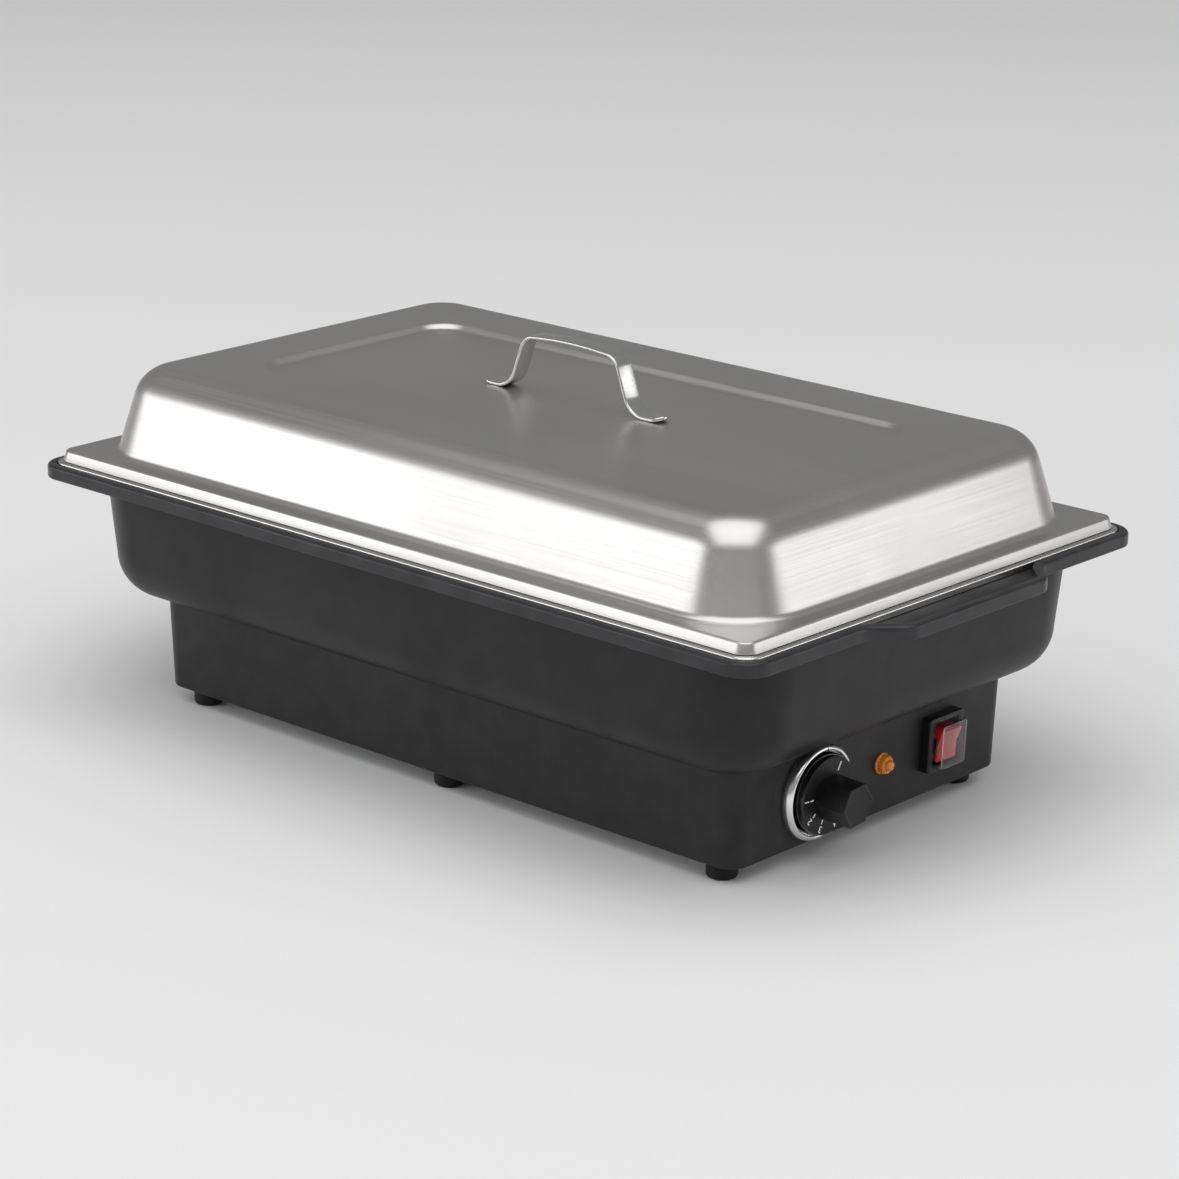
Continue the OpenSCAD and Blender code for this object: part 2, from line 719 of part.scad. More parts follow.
module switch_tabs() {
    color("silver") on_switch() for (y = [-6, 6]) for (z = [-8, 8])
        translate([0, y, z]) block_x(0.8, 6.3, -35, -26);
}

// Side view of the rocker, level, round its pivot: a shallow V in front, an arc behind
function rocker_outline() = concat(
    [[4.2, -ROCKER_HALF], [2.6, 0], [4.2, ROCKER_HALF]],
    [for (a = [100:10:260]) [7.4 * cos(a) - 0.2, 8.6 * sin(a)]]);

module rocker() {
    color("#c5161d") on_switch() translate([ROCKER_PIVOT, 0, 0]) rotate([0, ROCKER_TILT, 0]) {
        rotate([90, 0, 0]) linear_extrude(ROCKER_W, center = true) polygon(rocker_outline());
        rotate([90, 0, 0]) cylinder(r = 1.5, h = ROCKER_W + 2.4, center = true);
    }
}

module splash_cover() {
    color([0.9, 0.92, 0.95, 0.4]) on_switch() difference() {
        block_x(COVER_W, COVER_H, FRAME_OUT - 2, COVER_OUT);
        block_x(COVER_W - 2 * COVER_T, COVER_H - 2 * COVER_T, FRAME_OUT - 3, COVER_OUT - COVER_T);
    }
}

// ---------- mains entry and wiring ----------

module cord_gland() {
    color("#1c1c1e") on_rear(0, controls_z) difference() {
        turned_x([[-14, 0], [-14, 7], [-13, 8], [0, 8], [0, 11], [3, 11], [5, 8.4], [14, 6.2],
            [15, 5.4], [15, 0]]);
        bar_x(3.9, -15, 16);
    }
}

module gland_nut() {
    color("#1c1c1e") on_rear(0, controls_z) translate([-base_t - 6, 0, 0])
        rotate([0, 90, 0]) hex_nut(22, 6, 16);
}

module terminal_block() {
    color("#e6e2d6") difference() {
        translate([-160, -24, Z_PLATE + PLATE_T]) cube([20, 48, 15]);
        for (y = [-16, 0, 16]) {
            translate([-161, y, Z_PLATE + PLATE_T + 8]) rotate([0, 90, 0]) cylinder(r = 2.6, h = 22);
            for (x = [-155, -145]) translate([x, y, Z_PLATE + PLATE_T + 8]) cylinder(r = 1.9, h = 8);
        }
    }
}

module terminal_screws() {
    color("silver") for (y = [-16, 0, 16]) for (x = [-155, -145])
        translate([x, y, Z_PLATE + PLATE_T + 11.6]) cylinder(r = 1.9, h = 3);
}

module earth_stud() {
    color("#c9a24b") translate([-140, 60, Z_PLATE + PLATE_T]) {
        cylinder(d = 4, h = 14);
        cylinder(d = 7 / cos(30), h = 3.2, $fn = 6);
    }
}

WIRE_R = 1.3;
module live_wire() {
    color("#7a4a2a") bent_tube([[-146, -16, Z_PLATE + PLATE_T + 8], [-126, -16, 21.6],
        [-118, -19, 21.4], [-65, -83, 18.3], [-57, -88, 18], [95, -88, 18], [103, -84.5, 18],
        [172, 5, 20], [178, 17, 21.5], [185, 46, 29], [186, 49, 30.5], [186.5, 49, 32.5]], WIRE_R);
}

module neutral_wire() {
    color("#2b4f8f") wire([[-146, 0, Z_PLATE + PLATE_T + 8], [-110, 0, 20], [30, 0, 18],
        [120, 20, 18], [180, 61, 20], [186, 61, 30], [186.5, 61, 32.5]], WIRE_R);
}

module earth_wire() {
    color("#7c9a35") wire([[-146, 16, Z_PLATE + PLATE_T + 8], [-138, 16, Z_PLATE + PLATE_T + 8],
        [-134, 20, 24], [-136, 50, 30], [-140, 60, 29.4]], WIRE_R);
}

// ---------- food pan ----------

module food_pan() {
    hx = pan_l / 2;
    hy = pan_w / 2;
    edge_r = 1.4;
    mouth = 15.6;
    neck_r = 3;
    slope = 5;
    floor_r = 15;
    corner = 36;
    z_floor = Z_RIM - pan_depth;
    z_neck = Z_RIM - neck_r;
    neck = neck_r / cos(slope);
    run = (z_neck - z_floor - floor_r) * tan(slope);
    profile = concat(
        [[hx, hy, pan_rim_corner, Z_LEDGE + PAN_SEAT_GAP, 0]],
        [for (a = [0:30:90]) [hx - edge_r * (1 - cos(a)), hy - edge_r * (1 - cos(a)),
            pan_rim_corner - edge_r * (1 - cos(a)), Z_RIM - edge_r * (1 - sin(a)), a]],
        [for (a = [90:-20:10]) let (s = mouth + neck * cos(a))
            [hx - s, hy - s, corner + mouth - s, z_neck + neck_r * sin(a), 180 - a]],
        [for (a = [0:15:90]) let (s = mouth + neck + run + floor_r * (1 - cos(a)))
            [hx - s, hy - s, corner + mouth - s, z_floor + floor_r * (1 - sin(a)),
                180 - slope - a * (90 - slope) / 90]]);
    color("#c9cbce") pressed_sheet(profile, pan_t);
}

// ---------- lid ----------

module lid_shell() {
    hx = lid_l / 2;
    hy = lid_w / 2;
    edge_r = 2;
    skirt_corner = pan_rim_corner - 2;
    foot_r = 5;
    bx = hx - flange_w;
    by = hy - flange_w;
    foot_c = foot_r * (1 - sin(dome_draft)) / cos(dome_draft);
    z_c = Z_LID_TOP - dome_round;
    top_c = (z_c + dome_round * sin(dome_draft) - Z_FLANGE) * tan(dome_draft)
        + dome_round * cos(dome_draft);
    profile = concat(
        [[hx, hy, skirt_corner, Z_SKIRT, 0]],
        [for (a = [0:30:90]) let (s = edge_r * (1 - cos(a)))
            [hx - s, hy - s, skirt_corner - s, Z_FLANGE - edge_r * (1 - sin(a)), a]],
        [for (i = [0:4]) let (a = 270 - i * (90 - dome_draft) / 4, s = -foot_c - foot_r * cos(a))
            [bx - s, by - s, dome_corner - s, Z_FLANGE + foot_r * (1 + sin(a)), a - 180]],
        [for (i = [0:7]) let (a = dome_draft + i * (90 - dome_draft) / 7,
                s = top_c - dome_round * cos(a))
            [bx - s, by - s, dome_corner - s, z_c + dome_round * sin(a), a]],
        [for (i = [0:5]) let (s = 5.5 * i / 5)
            [panel_l / 2 - s, panel_w / 2 - s, 22 - s / 2,
                Z_LID_TOP - panel_sink * (1 - cos(36 * i)) / 2, 90 - 40 * sin(36 * i)]]);
    color("#bfc1c4") pressed_sheet(profile, lid_t);
}

// Points of an arc that starts at p heading h degrees and turns by t at radius r
function arc_from(p, h, r, t, n) =
    let (side = t < 0 ? -1 : 1, c = p + side * r * [-sin(h), cos(h)])
    [for (i = [1:n]) let (a = h + t * i / n) c - side * r * [-sin(a), cos(a)]];

// Half of the strap's middle line, from the top of the handle to the tip of a foot
function strap_path() =
    let (start = [0, 33.2],
        crown = arc_from(start, 0, 270, -6, 4),
        bend = arc_from(crown[3], -6, 10, -64, 7),
        leg = bend[6] + 16.9 * [cos(-70), sin(-70)],
        toe = arc_from(leg, -70, 14, 70, 7),
        flat = toe[6] + [4, 0],
        tilt = arc_from(flat, 0, 16, 16, 3))
    concat([start], crown, bend, [leg], toe, [flat], tilt, [tilt[2] + 4.5 * [cos(16), sin(16)]]);

// Direction of a path at point i
function heading(p, i) =
    let (d = p[min(i + 1, len(p) - 1)] - p[max(i - 1, 0)]) d / norm(d);

// One side of the strap, half its thickness off the middle line
function strap_side(p, s) =
    [for (i = [0:len(p) - 1]) let (d = heading(p, i)) p[i] + s * strap_t / 2 * [-d[1], d[0]]];

module lid_handle() {
    half = strap_path();
    path = concat([for (i = [len(half) - 1:-1:1]) [-half[i][0], half[i][1]]], half);
    last = len(path) - 1;
    upper = strap_side(path, 1);
    lower = strap_side(path, -1);
    foot_z = Z_PANEL - lower[last - 4][1];
    tip_x = path[last][0];
    color("#d5d7da") translate([0, 0, foot_z]) intersection() {
        rotate([90, 0, 0]) linear_extrude(strap_w + 4, center = true)
            polygon(concat(upper, [for (i = [last:-1:0]) lower[i]]));
        translate([0, 0, -5]) linear_extrude(60) polygon([
            for (m = [1, -1]) each [for (p = [[tip_x + 1, -1.2 * m], [tip_x - 1.5, 3.4 * m],
                [tip_x - 6, strap_w / 2 * m], [20, strap_w / 2 * m], [-20, strap_w / 2 * m],
                [6 - tip_x, strap_w / 2 * m], [1.5 - tip_x, 3.4 * m], [-1 - tip_x, 1.2 * m]])
                [m * p[0], p[1]]]]);
    }
}

water_tank();
base_housing();
bottom_plate();
foot_1();
foot_2();
foot_3();
foot_4();
foot_5();
foot_6();
foot_screws();
plate_screws();
tank_screws();
heater_plate();
heater_gasket();
heater_clamp_ring();
heater_nuts();
heating_element();
element_terminals();
heat_shield();
shield_pillars();
thermal_cutout();
cutout_bracket();
sensor_bulb();
bulb_clip();
capillary_tube();
thermostat_body();
thermostat_screws();
thermostat_tabs();
knob_bezel();
knob_grip();
knob_clip();
thermostat_shaft();
pilot_lens();
pilot_body();
pilot_nut();
pilot_tabs();
switch_frame();
switch_body();
switch_tabs();
rocker();
splash_cover();
cord_gland();
gland_nut();
terminal_block();
terminal_screws();
earth_stud();
live_wire();
neutral_wire();
earth_wire();
food_pan();
lid_shell();
lid_handle();
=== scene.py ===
"""Looks of an electric buffet server: a lidded food pan in a water tank on a heated base.

Sizes inside the classes are in millimetres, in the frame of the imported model: +X runs along the
long side to the control panel, +Z is up, and the feet stand on Z = 0.
"""

from __future__ import annotations

import json
import logging
import math
from dataclasses import dataclass
from enum import Enum
from typing import Callable, Iterable, Sequence

import bmesh
import bpy
from mathutils import Matrix, Vector

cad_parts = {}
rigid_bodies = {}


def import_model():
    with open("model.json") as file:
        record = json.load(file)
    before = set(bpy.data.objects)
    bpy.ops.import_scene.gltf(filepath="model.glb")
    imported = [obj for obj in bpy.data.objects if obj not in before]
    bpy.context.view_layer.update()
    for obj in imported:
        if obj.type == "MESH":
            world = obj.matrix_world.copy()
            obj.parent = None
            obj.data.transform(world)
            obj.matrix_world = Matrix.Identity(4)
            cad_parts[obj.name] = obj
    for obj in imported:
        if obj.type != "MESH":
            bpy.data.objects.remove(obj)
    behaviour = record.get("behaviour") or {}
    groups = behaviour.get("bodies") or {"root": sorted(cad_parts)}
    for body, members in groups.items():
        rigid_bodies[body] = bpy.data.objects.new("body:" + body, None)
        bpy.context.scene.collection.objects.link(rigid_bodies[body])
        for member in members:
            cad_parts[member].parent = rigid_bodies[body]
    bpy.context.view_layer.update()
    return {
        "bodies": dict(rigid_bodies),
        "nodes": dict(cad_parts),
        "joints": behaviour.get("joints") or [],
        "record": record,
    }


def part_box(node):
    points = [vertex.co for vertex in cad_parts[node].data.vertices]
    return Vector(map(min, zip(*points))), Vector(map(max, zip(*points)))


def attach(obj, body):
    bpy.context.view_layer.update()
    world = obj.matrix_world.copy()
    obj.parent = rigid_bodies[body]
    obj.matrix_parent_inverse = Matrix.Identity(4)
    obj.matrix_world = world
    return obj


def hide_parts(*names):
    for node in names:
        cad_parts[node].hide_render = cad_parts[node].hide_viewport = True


LOG = logging.getLogger("buffet_server")
MM = 0.001
Profile = Sequence[tuple[float, float]]
Colour = tuple[float, float, float]
Test = Callable[[Vector], bool]

# Millimetres: places this close count as one, and corners this close are merged.
NEAR = 0.01
SAME_HEIGHT = 0.001
MERGE = 0.004
# Millimetres: the least inset that a step takes, and a height past every piece.
LEAST_INSET = 0.0005
FAR = 1000.0
# Degrees: edges flatter than this are shaded smooth unless a piece says otherwise.
SMOOTH = 32.0


# ---------- the bench: operators with sizes in millimetres ----------


class Element(Enum):
    """What a selection picks."""

    VERTEX = "VERT"
    EDGE = "EDGE"
    FACE = "FACE"


class Facing(Enum):
    """Which way a flat outline faces before it is shaped."""

    UP = 1
    DOWN = -1


@dataclass(frozen=True)
class Box:
    """A node's box in millimetres."""

    low: Vector
    high: Vector

    @classmethod
    def of(cls, node: str) -> Box:
        """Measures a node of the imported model.

        Args:
            node: The node's name.

        Returns:
            Its box.
        """
        low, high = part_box(node)
        return cls(Vector(low) / MM, Vector(high) / MM)

    @property
    def half(self) -> Vector:
        """Half of the box's size along each axis."""
        return (self.high - self.low) / 2

    @property
    def centre(self) -> Vector:
        """The middle of the box."""
        return (self.high + self.low) / 2


def arc(centre: tuple[float, float], radius: float, start: float, end: float, steps: int) -> list:
    """Points along an arc of a profile.

    Args:
        centre: The arc's centre, as (inset, height) or (radius, height).
        radius: The arc's radius.
        start: The first angle in degrees.
        end: The last angle in degrees.
        steps: How many steps the arc takes.

    Returns:
        The points, both ends included.
    """
    turns = [math.radians(start + (end - start) * i / steps) for i in range(steps + 1)]
    return [(centre[0] + radius * math.cos(t), centre[1] + radius * math.sin(t)) for t in turns]


def round_over(radius: float, top: float, steps: int) -> list:
    """The points of a rounded upper edge, past the first."""
    return arc((radius, top - radius), radius, 180, 90, steps)[1:]


def deselect_all() -> None:
    """Leaves edit mode and clears the selection."""
    if bpy.context.mode != "OBJECT":
        bpy.ops.object.mode_set(mode="OBJECT")
    bpy.ops.object.select_all(action="DESELECT")


class Workpiece:
    """One mesh on the bench. Every size that goes in is in millimetres."""

    def __init__(self, name: str) -> None:
        """Takes the object that was just added as the workpiece.

        Args:
            name: The piece's name.
        """
        self.obj = bpy.context.object
        self.obj.name = name
        self.obj.data.name = name
        self.facing = Facing.UP

    def activate(self) -> None:
        """Makes this the only selected object, in object mode."""
        deselect_all()
        self.obj.select_set(True)
        bpy.context.view_layer.objects.active = self.obj

    def open(self, element: Element = Element.VERTEX) -> None:
        """Enters edit mode with everything selected.

        Args:
            element: What the selection picks.
        """
        self.activate()
        bpy.ops.object.mode_set(mode="EDIT")
        bpy.ops.mesh.select_mode(type=element.value)
        bpy.ops.mesh.select_all(action="SELECT")

    def close(self) -> None:
        """Leaves edit mode."""
        bpy.ops.object.mode_set(mode="OBJECT")

    def pick(self, element: Element, test: Test) -> None:
        """Selects the elements whose middle passes a test, in edit mode.

        Args:
            element: What is picked.
            test: A test on the element's middle, in millimetres.
        """
        bpy.ops.mesh.select_mode(type=element.value)
        bpy.ops.mesh.select_all(action="DESELECT")
        mesh = bmesh.from_edit_mesh(self.obj.data)
        if element is Element.VERTEX:
            found = [v for v in mesh.verts if test(v.co / MM)]
        elif element is Element.EDGE:
            found = [e for e in mesh.edges if test((e.verts[0].co + e.verts[1].co) / 2 / MM)]
        else:
            found = [f for f in mesh.faces if test(f.calc_center_median() / MM)]
        for item in found:
            item.select = True
        mesh.select_flush_mode()
        bmesh.update_edit_mesh(self.obj.data)

    def pick_open_edges(self, low: float, high: float) -> None:
        """Selects the open edges between two heights, in edit mode.

        Args:
            low: The lowest height.
            high: The highest height.
        """
        bpy.ops.mesh.select_mode(type="EDGE")
        bpy.ops.mesh.select_all(action="DESELECT")
        mesh = bmesh.from_edit_mesh(self.obj.data)
        for edge in mesh.edges:
            middle = (edge.verts[0].co + edge.verts[1].co) / 2 / MM
            edge.select = edge.is_boundary and low <= middle.z <= high
        mesh.select_flush_mode()
        bmesh.update_edit_mesh(self.obj.data)

    def extrude(self, step: Vector) -> None:
        """Extrudes the selection by a step."""
        bpy.ops.mesh.extrude_region_move(TRANSFORM_OT_translate={"value": tuple(step * MM)})

    def move(self, step: Vector) -> None:
        """Moves the selection by a step."""
        bpy.ops.transform.translate(value=tuple(step * MM))

    def scale(self, factors: Vector, about: Vector) -> None:
        """Scales the selection about a point."""
        bpy.ops.transform.resize(value=tuple(factors), center_override=tuple(about * MM))

    def follow(self, profile: Profile) -> None:
        """Insets the open face along a profile of (inset, height) points.

        Args:
            profile: The points, of which the first is where the face is now.
        """
        self.open(Element.FACE)
        self.pick_last_face()
        for (s0, z0), (s1, z1) in zip(profile, profile[1:]):
            bpy.ops.mesh.inset(
                thickness=max(s1 - s0, LEAST_INSET) * MM,
                depth=(z1 - z0) * MM * self.facing.value,
                use_even_offset=True,
            )
        self.close()

    def pick_last_face(self) -> None:
        """Selects the face with the most corners, which is the one being shaped."""
        mesh = bmesh.from_edit_mesh(self.obj.data)
        mesh.faces.ensure_lookup_table()
        last = max(mesh.faces, key=lambda f: (len(f.verts), f.index))
        for face in mesh.faces:
            face.select = face is last
        mesh.select_flush_mode()
        bmesh.update_edit_mesh(self.obj.data)

    def drop_last_face(self) -> None:
        """Deletes the face being shaped and leaves its edge open."""
        self.open(Element.FACE)
        self.pick_last_face()
        bpy.ops.mesh.delete(type="ONLY_FACE")
        self.close()

    def join(self, others: Iterable[Workpiece]) -> None:
        """Joins other workpieces into this one and merges shared corners.

        Args:
            others: The workpieces that go in.
        """
        self.activate()
        for piece in others:
            piece.obj.select_set(True)
        bpy.ops.object.join()
        self.open()
        bpy.ops.mesh.remove_doubles(threshold=MERGE * MM)
        self.close()

    def bridge(self, low: float, high: float | None = None) -> None:
        """Bridges the two open loops at a height, or at two heights.

        Args:
            low: The height of the loops, or of the lower one.
            high: The height of the upper loop, if it is another.
        """
        self.open(Element.EDGE)
        self.pick_open_edges(low - NEAR, (low if high is None else high) + NEAR)
        bpy.ops.mesh.bridge_edge_loops()
        self.close()

    def outward(self) -> None:
        """Turns every normal outwards."""
        self.open()
        bpy.ops.mesh.normals_make_consistent(inside=False)
        self.close()

    def modify(self, kind: str, **values: object) -> None:
        """Adds a modifier and applies it.

        Args:
            kind: The modifier's type.
            values: Its settings, lengths in metres.
        """
        self.activate()
        modifier = self.obj.modifiers.new(kind.title(), kind)
        for key, value in values.items():
            setattr(modifier, key, value)
        bpy.ops.object.modifier_apply(modifier=modifier.name)

    def thicken(self, gauge: float) -> None:
        """Gives a sheet its gauge, behind its face."""
        self.modify("SOLIDIFY", thickness=gauge * MM, offset=-1.0, use_even_offset=True)

    def soften(self, width: float, segments: int = 2, angle: float = 35) -> None:
        """Rounds every sharp edge by a small bevel."""
        self.modify(
            "BEVEL", width=width * MM, segments=segments, limit_method="ANGLE",
            angle_limit=math.radians(angle), use_clamp_overlap=True,
        )

    def cut(self, tool: Workpiece) -> None:
        """Cuts another workpiece out of this one and throws that one away."""
        self.modify("BOOLEAN", operation="DIFFERENCE", object=tool.obj, solver="EXACT")
        bpy.data.objects.remove(tool.obj)

    def smooth(self, angle: float) -> None:
        """Shades smooth across edges flatter than an angle."""
        self.activate()
        bpy.ops.object.shade_smooth_by_angle(angle=math.radians(angle))

    def place(self, matrix: Matrix) -> None:
        """Places the mesh by a matrix in metres and leaves its object at the origin."""
        self.activate()
        self.obj.matrix_world = matrix
        bpy.ops.object.transform_apply(location=True, rotation=True, scale=True)

    def paint(self, finish: bpy.types.Material, test: Test) -> None:
        """Gives the faces that pass a test a finish of their own.

        Args:
            finish: The finish.
            test: A test on a face's middle, in millimetres.
        """
        self.obj.data.materials.append(finish)
        index = len(self.obj.data.materials) - 1
        for face in self.obj.data.polygons:
            if test(face.center / MM):
                face.material_index = index

    def settle(
        self, body: str, slot: str, *nodes: str, finish: bpy.types.Material | None = None,
        at: Matrix | None = None, angle: float | None = SMOOTH,
    ) -> None:
        """Finishes the piece, ties it to its body and hides the nodes that it stands for.

        Args:
            body: The body that it rides on.
            slot: The material slot of its finish; it is not used.
            nodes: The nodes that it replaces.
            finish: Its material, if it has none yet.
            at: Where it is placed, in metres, if it isn't there yet.
            angle: Edges flatter than this are shaded smooth, if any are.
        """
        if finish is not None:
            self.obj.data.materials.append(finish)
        if at is not None:
            self.place(at)
        if angle is not None:
            self.smooth(angle)
        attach(self.obj, body)
        if nodes:
            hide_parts(*nodes)
        LOG.info("%s: %d faces on %s", self.obj.name, len(self.obj.data.polygons), body)


@dataclass(frozen=True)
class Tab:
    """A carry tab that stands out of each end of an outline."""

    out: float
    tip: float
    root: float
    rounding: float


CORNER_STEPS = 14
TAB_STEPS = 4


def sheet(
    name: str, half: tuple[float, float], corner: float, profile: Profile,
    facing: Facing = Facing.UP, tab: Tab | None = None, steps: int = CORNER_STEPS,
    open_end: bool = False,
) -> Workpiece:
    """A sheet drawn from a rectangle with round corners that is inset along a profile.

    Args:
        name: The workpiece's name.
        half: Half its length and half its width.
        corner: The radius of its corners.
        profile: Points of (inset, height), of which the first is where the rectangle lies.
        facing: Which way it faces.
        tab: The carry tab at both ends, if it has them.
        steps: How many steps each corner takes.
        open_end: Whether the last face is left out, for another sheet to join on.

    Returns:
        The workpiece.
    """
    deselect_all()
    bpy.ops.mesh.primitive_plane_add(size=2 * MM, location=(0, 0, 0))
    piece = Workpiece(name)
    piece.facing = facing
    lift = Matrix.Translation((0, 0, profile[0][1] * MM))
    piece.place(lift @ Matrix.Diagonal((half[0], half[1], 1, 1)))
    if tab:
        add_tabs(piece, half[0], tab)
    piece.open()
    piece.pick(Element.VERTEX, lambda v: abs(abs(v.y) - half[1]) < NEAR)
    bpy.ops.mesh.bevel(offset=corner * MM, segments=steps, affect="VERTICES", clamp_overlap=False)
    if facing is Facing.DOWN:
        bpy.ops.mesh.select_all(action="SELECT")
        bpy.ops.mesh.flip_normals()
    piece.close()
    piece.follow(profile)
    if open_end:
        piece.drop_last_face()
    return piece


def add_tabs(piece: Workpiece, end: float, tab: Tab) -> None:
    """Draws a tab out of both ends of a flat rectangle.

    Args:
        piece: The rectangle.
        end: Half its length.
        tab: The tab's sizes.
    """
    piece.open()
    for y in (-tab.root, -tab.tip, tab.tip, tab.root):
        bpy.ops.mesh.select_all(action="SELECT")
        bpy.ops.mesh.bisect(plane_co=(0, y * MM, 0), plane_no=(0, 1, 0))
    for side in (-1, 1):
        piece.pick(Element.VERTEX, lambda v, s=side: (
            abs(v.x - s * end) < NEAR and abs(v.y) < tab.tip + NEAR))
        piece.move(Vector((side * tab.out, 0, 0)))
    piece.pick(Element.EDGE, lambda v: abs(v.x) < NEAR and abs(v.y) < tab.root + NEAR)
    bpy.ops.mesh.dissolve_edges(use_verts=False)
    piece.pick(Element.VERTEX, lambda v: abs(v.y) < tab.root + NEAR)
    bpy.ops.mesh.bevel(
        offset=tab.rounding * MM, segments=TAB_STEPS, affect="VERTICES", clamp_overlap=False
    )
    piece.close()


def turned(name: str, profile: Profile, around: int = 64, ring: bool = False) -> Workpiece:
    """A turned piece, made from a circle that is extruded and scaled step by step.

    Args:
        name: The piece's name.
        profile: Points of (radius, height) along the local Z axis.
        around: How many sides it has.
        ring: Whether the last circle joins the first instead of both being closed.

    Returns:
        The workpiece.
    """
    deselect_all()
    radius, height = profile[0]
    bpy.ops.mesh.primitive_circle_add(vertices=around, radius=radius * MM, location=(0, 0, 0))
    piece = Workpiece(name)
    piece.place(Matrix.Translation((0, 0, height * MM)))
    piece.open(Element.EDGE)
    for (r0, z0), (r1, z1) in zip(profile, profile[1:]):
        piece.extrude(Vector((0, 0, z1 - z0)))
        piece.scale(Vector((r1 / r0, r1 / r0, 1)), Vector((0, 0, z1)))
    if ring:
        piece.pick_open_edges(-FAR, FAR)
        bpy.ops.mesh.bridge_edge_loops()
    else:
        for _, z in (profile[0], profile[-1]):
            piece.pick_open_edges(z - SAME_HEIGHT, z + SAME_HEIGHT)
            bpy.ops.mesh.edge_face_add()
    piece.close()
    piece.outward()
    return piece


def block(name: str, size: Vector, middle: Vector) -> Workpiece:
    """A block for cutting or for shaping further.

    Args:
        name: The workpiece's name.
        size: Its size.
        middle: Its middle.

    Returns:
        The workpiece.
    """
    deselect_all()
    bpy.ops.mesh.primitive_cube_add(size=MM, location=(0, 0, 0))
    piece = Workpiece(name)
    piece.place(Matrix.Translation(middle * MM) @ Matrix.Diagonal((*size, 1)))
    return piece


# ---------- finishes ----------


class Graph:
    """A short way to write a shader's nodes."""

    def __init__(self, tree: bpy.types.NodeTree) -> None:
        """Starts on a node tree."""
        self.tree = tree

    def node(self, kind: str, links: dict | None = None, **settings: object) -> bpy.types.Node:
        """Adds a node.

        Args:
            kind: The node's type, without its ShaderNode prefix.
            links: Inputs by name or number, each a value or another node's output.
            settings: The node's own settings.

        Returns:
            The node.
        """
        made = self.tree.nodes.new("ShaderNode" + kind)
        for key, value in settings.items():
            setattr(made, key, value)
        for key, value in (links or {}).items():
            if isinstance(value, bpy.types.NodeSocket):
                self.tree.links.new(value, made.inputs[key])
            else:
                made.inputs[key].default_value = value
        return made

    def place(self) -> bpy.types.NodeSocket:
        """Adds the Object coordinates and returns them."""
        return self.node("TexCoord").outputs["Object"]

    def math(self, operation: str, a: object, b: object = 0.0) -> bpy.types.NodeSocket:
        """Adds a maths node and returns its output."""
        return self.node("Math", {0: a, 1: b}, operation=operation).outputs[0]

    def ramp(self, value: object, low: float, high: float, out: tuple[float, float]) -> object:
        """Maps a value from one span to another, clamped, and returns the output."""
        links = {0: value, 1: low, 2: high, 3: out[0], 4: out[1]}
        return self.node("MapRange", links).outputs[0]

    def blend(self, mask: object, first: object, second: object) -> bpy.types.NodeSocket:
        """Mixes two colours by a mask and returns the colour."""
        made = self.node("Mix", {0: mask, 6: first, 7: second}, data_type="RGBA")
        return made.outputs[2]


def effect(name: str, inputs: dict[str, float], outputs: Sequence[str]) -> tuple:
    """Starts an effect that several finishes use.

    Args:
        name: The effect's name.
        inputs: Its numbers, with their usual values.
        outputs: The names of its outputs.

    Returns:
        The group, a graph on it, its input node and its output node.
    """
    tree = bpy.data.node_groups.new(name, "ShaderNodeTree")
    for key, value in inputs.items():
        socket = tree.interface.new_socket(name=key, in_out="INPUT", socket_type="NodeSocketFloat")
        socket.default_value = value
    for key in outputs:
        tree.interface.new_socket(name=key, in_out="OUTPUT", socket_type="NodeSocketFloat")
    return tree, Graph(tree), tree.nodes.new("NodeGroupInput"), tree.nodes.new("NodeGroupOutput")


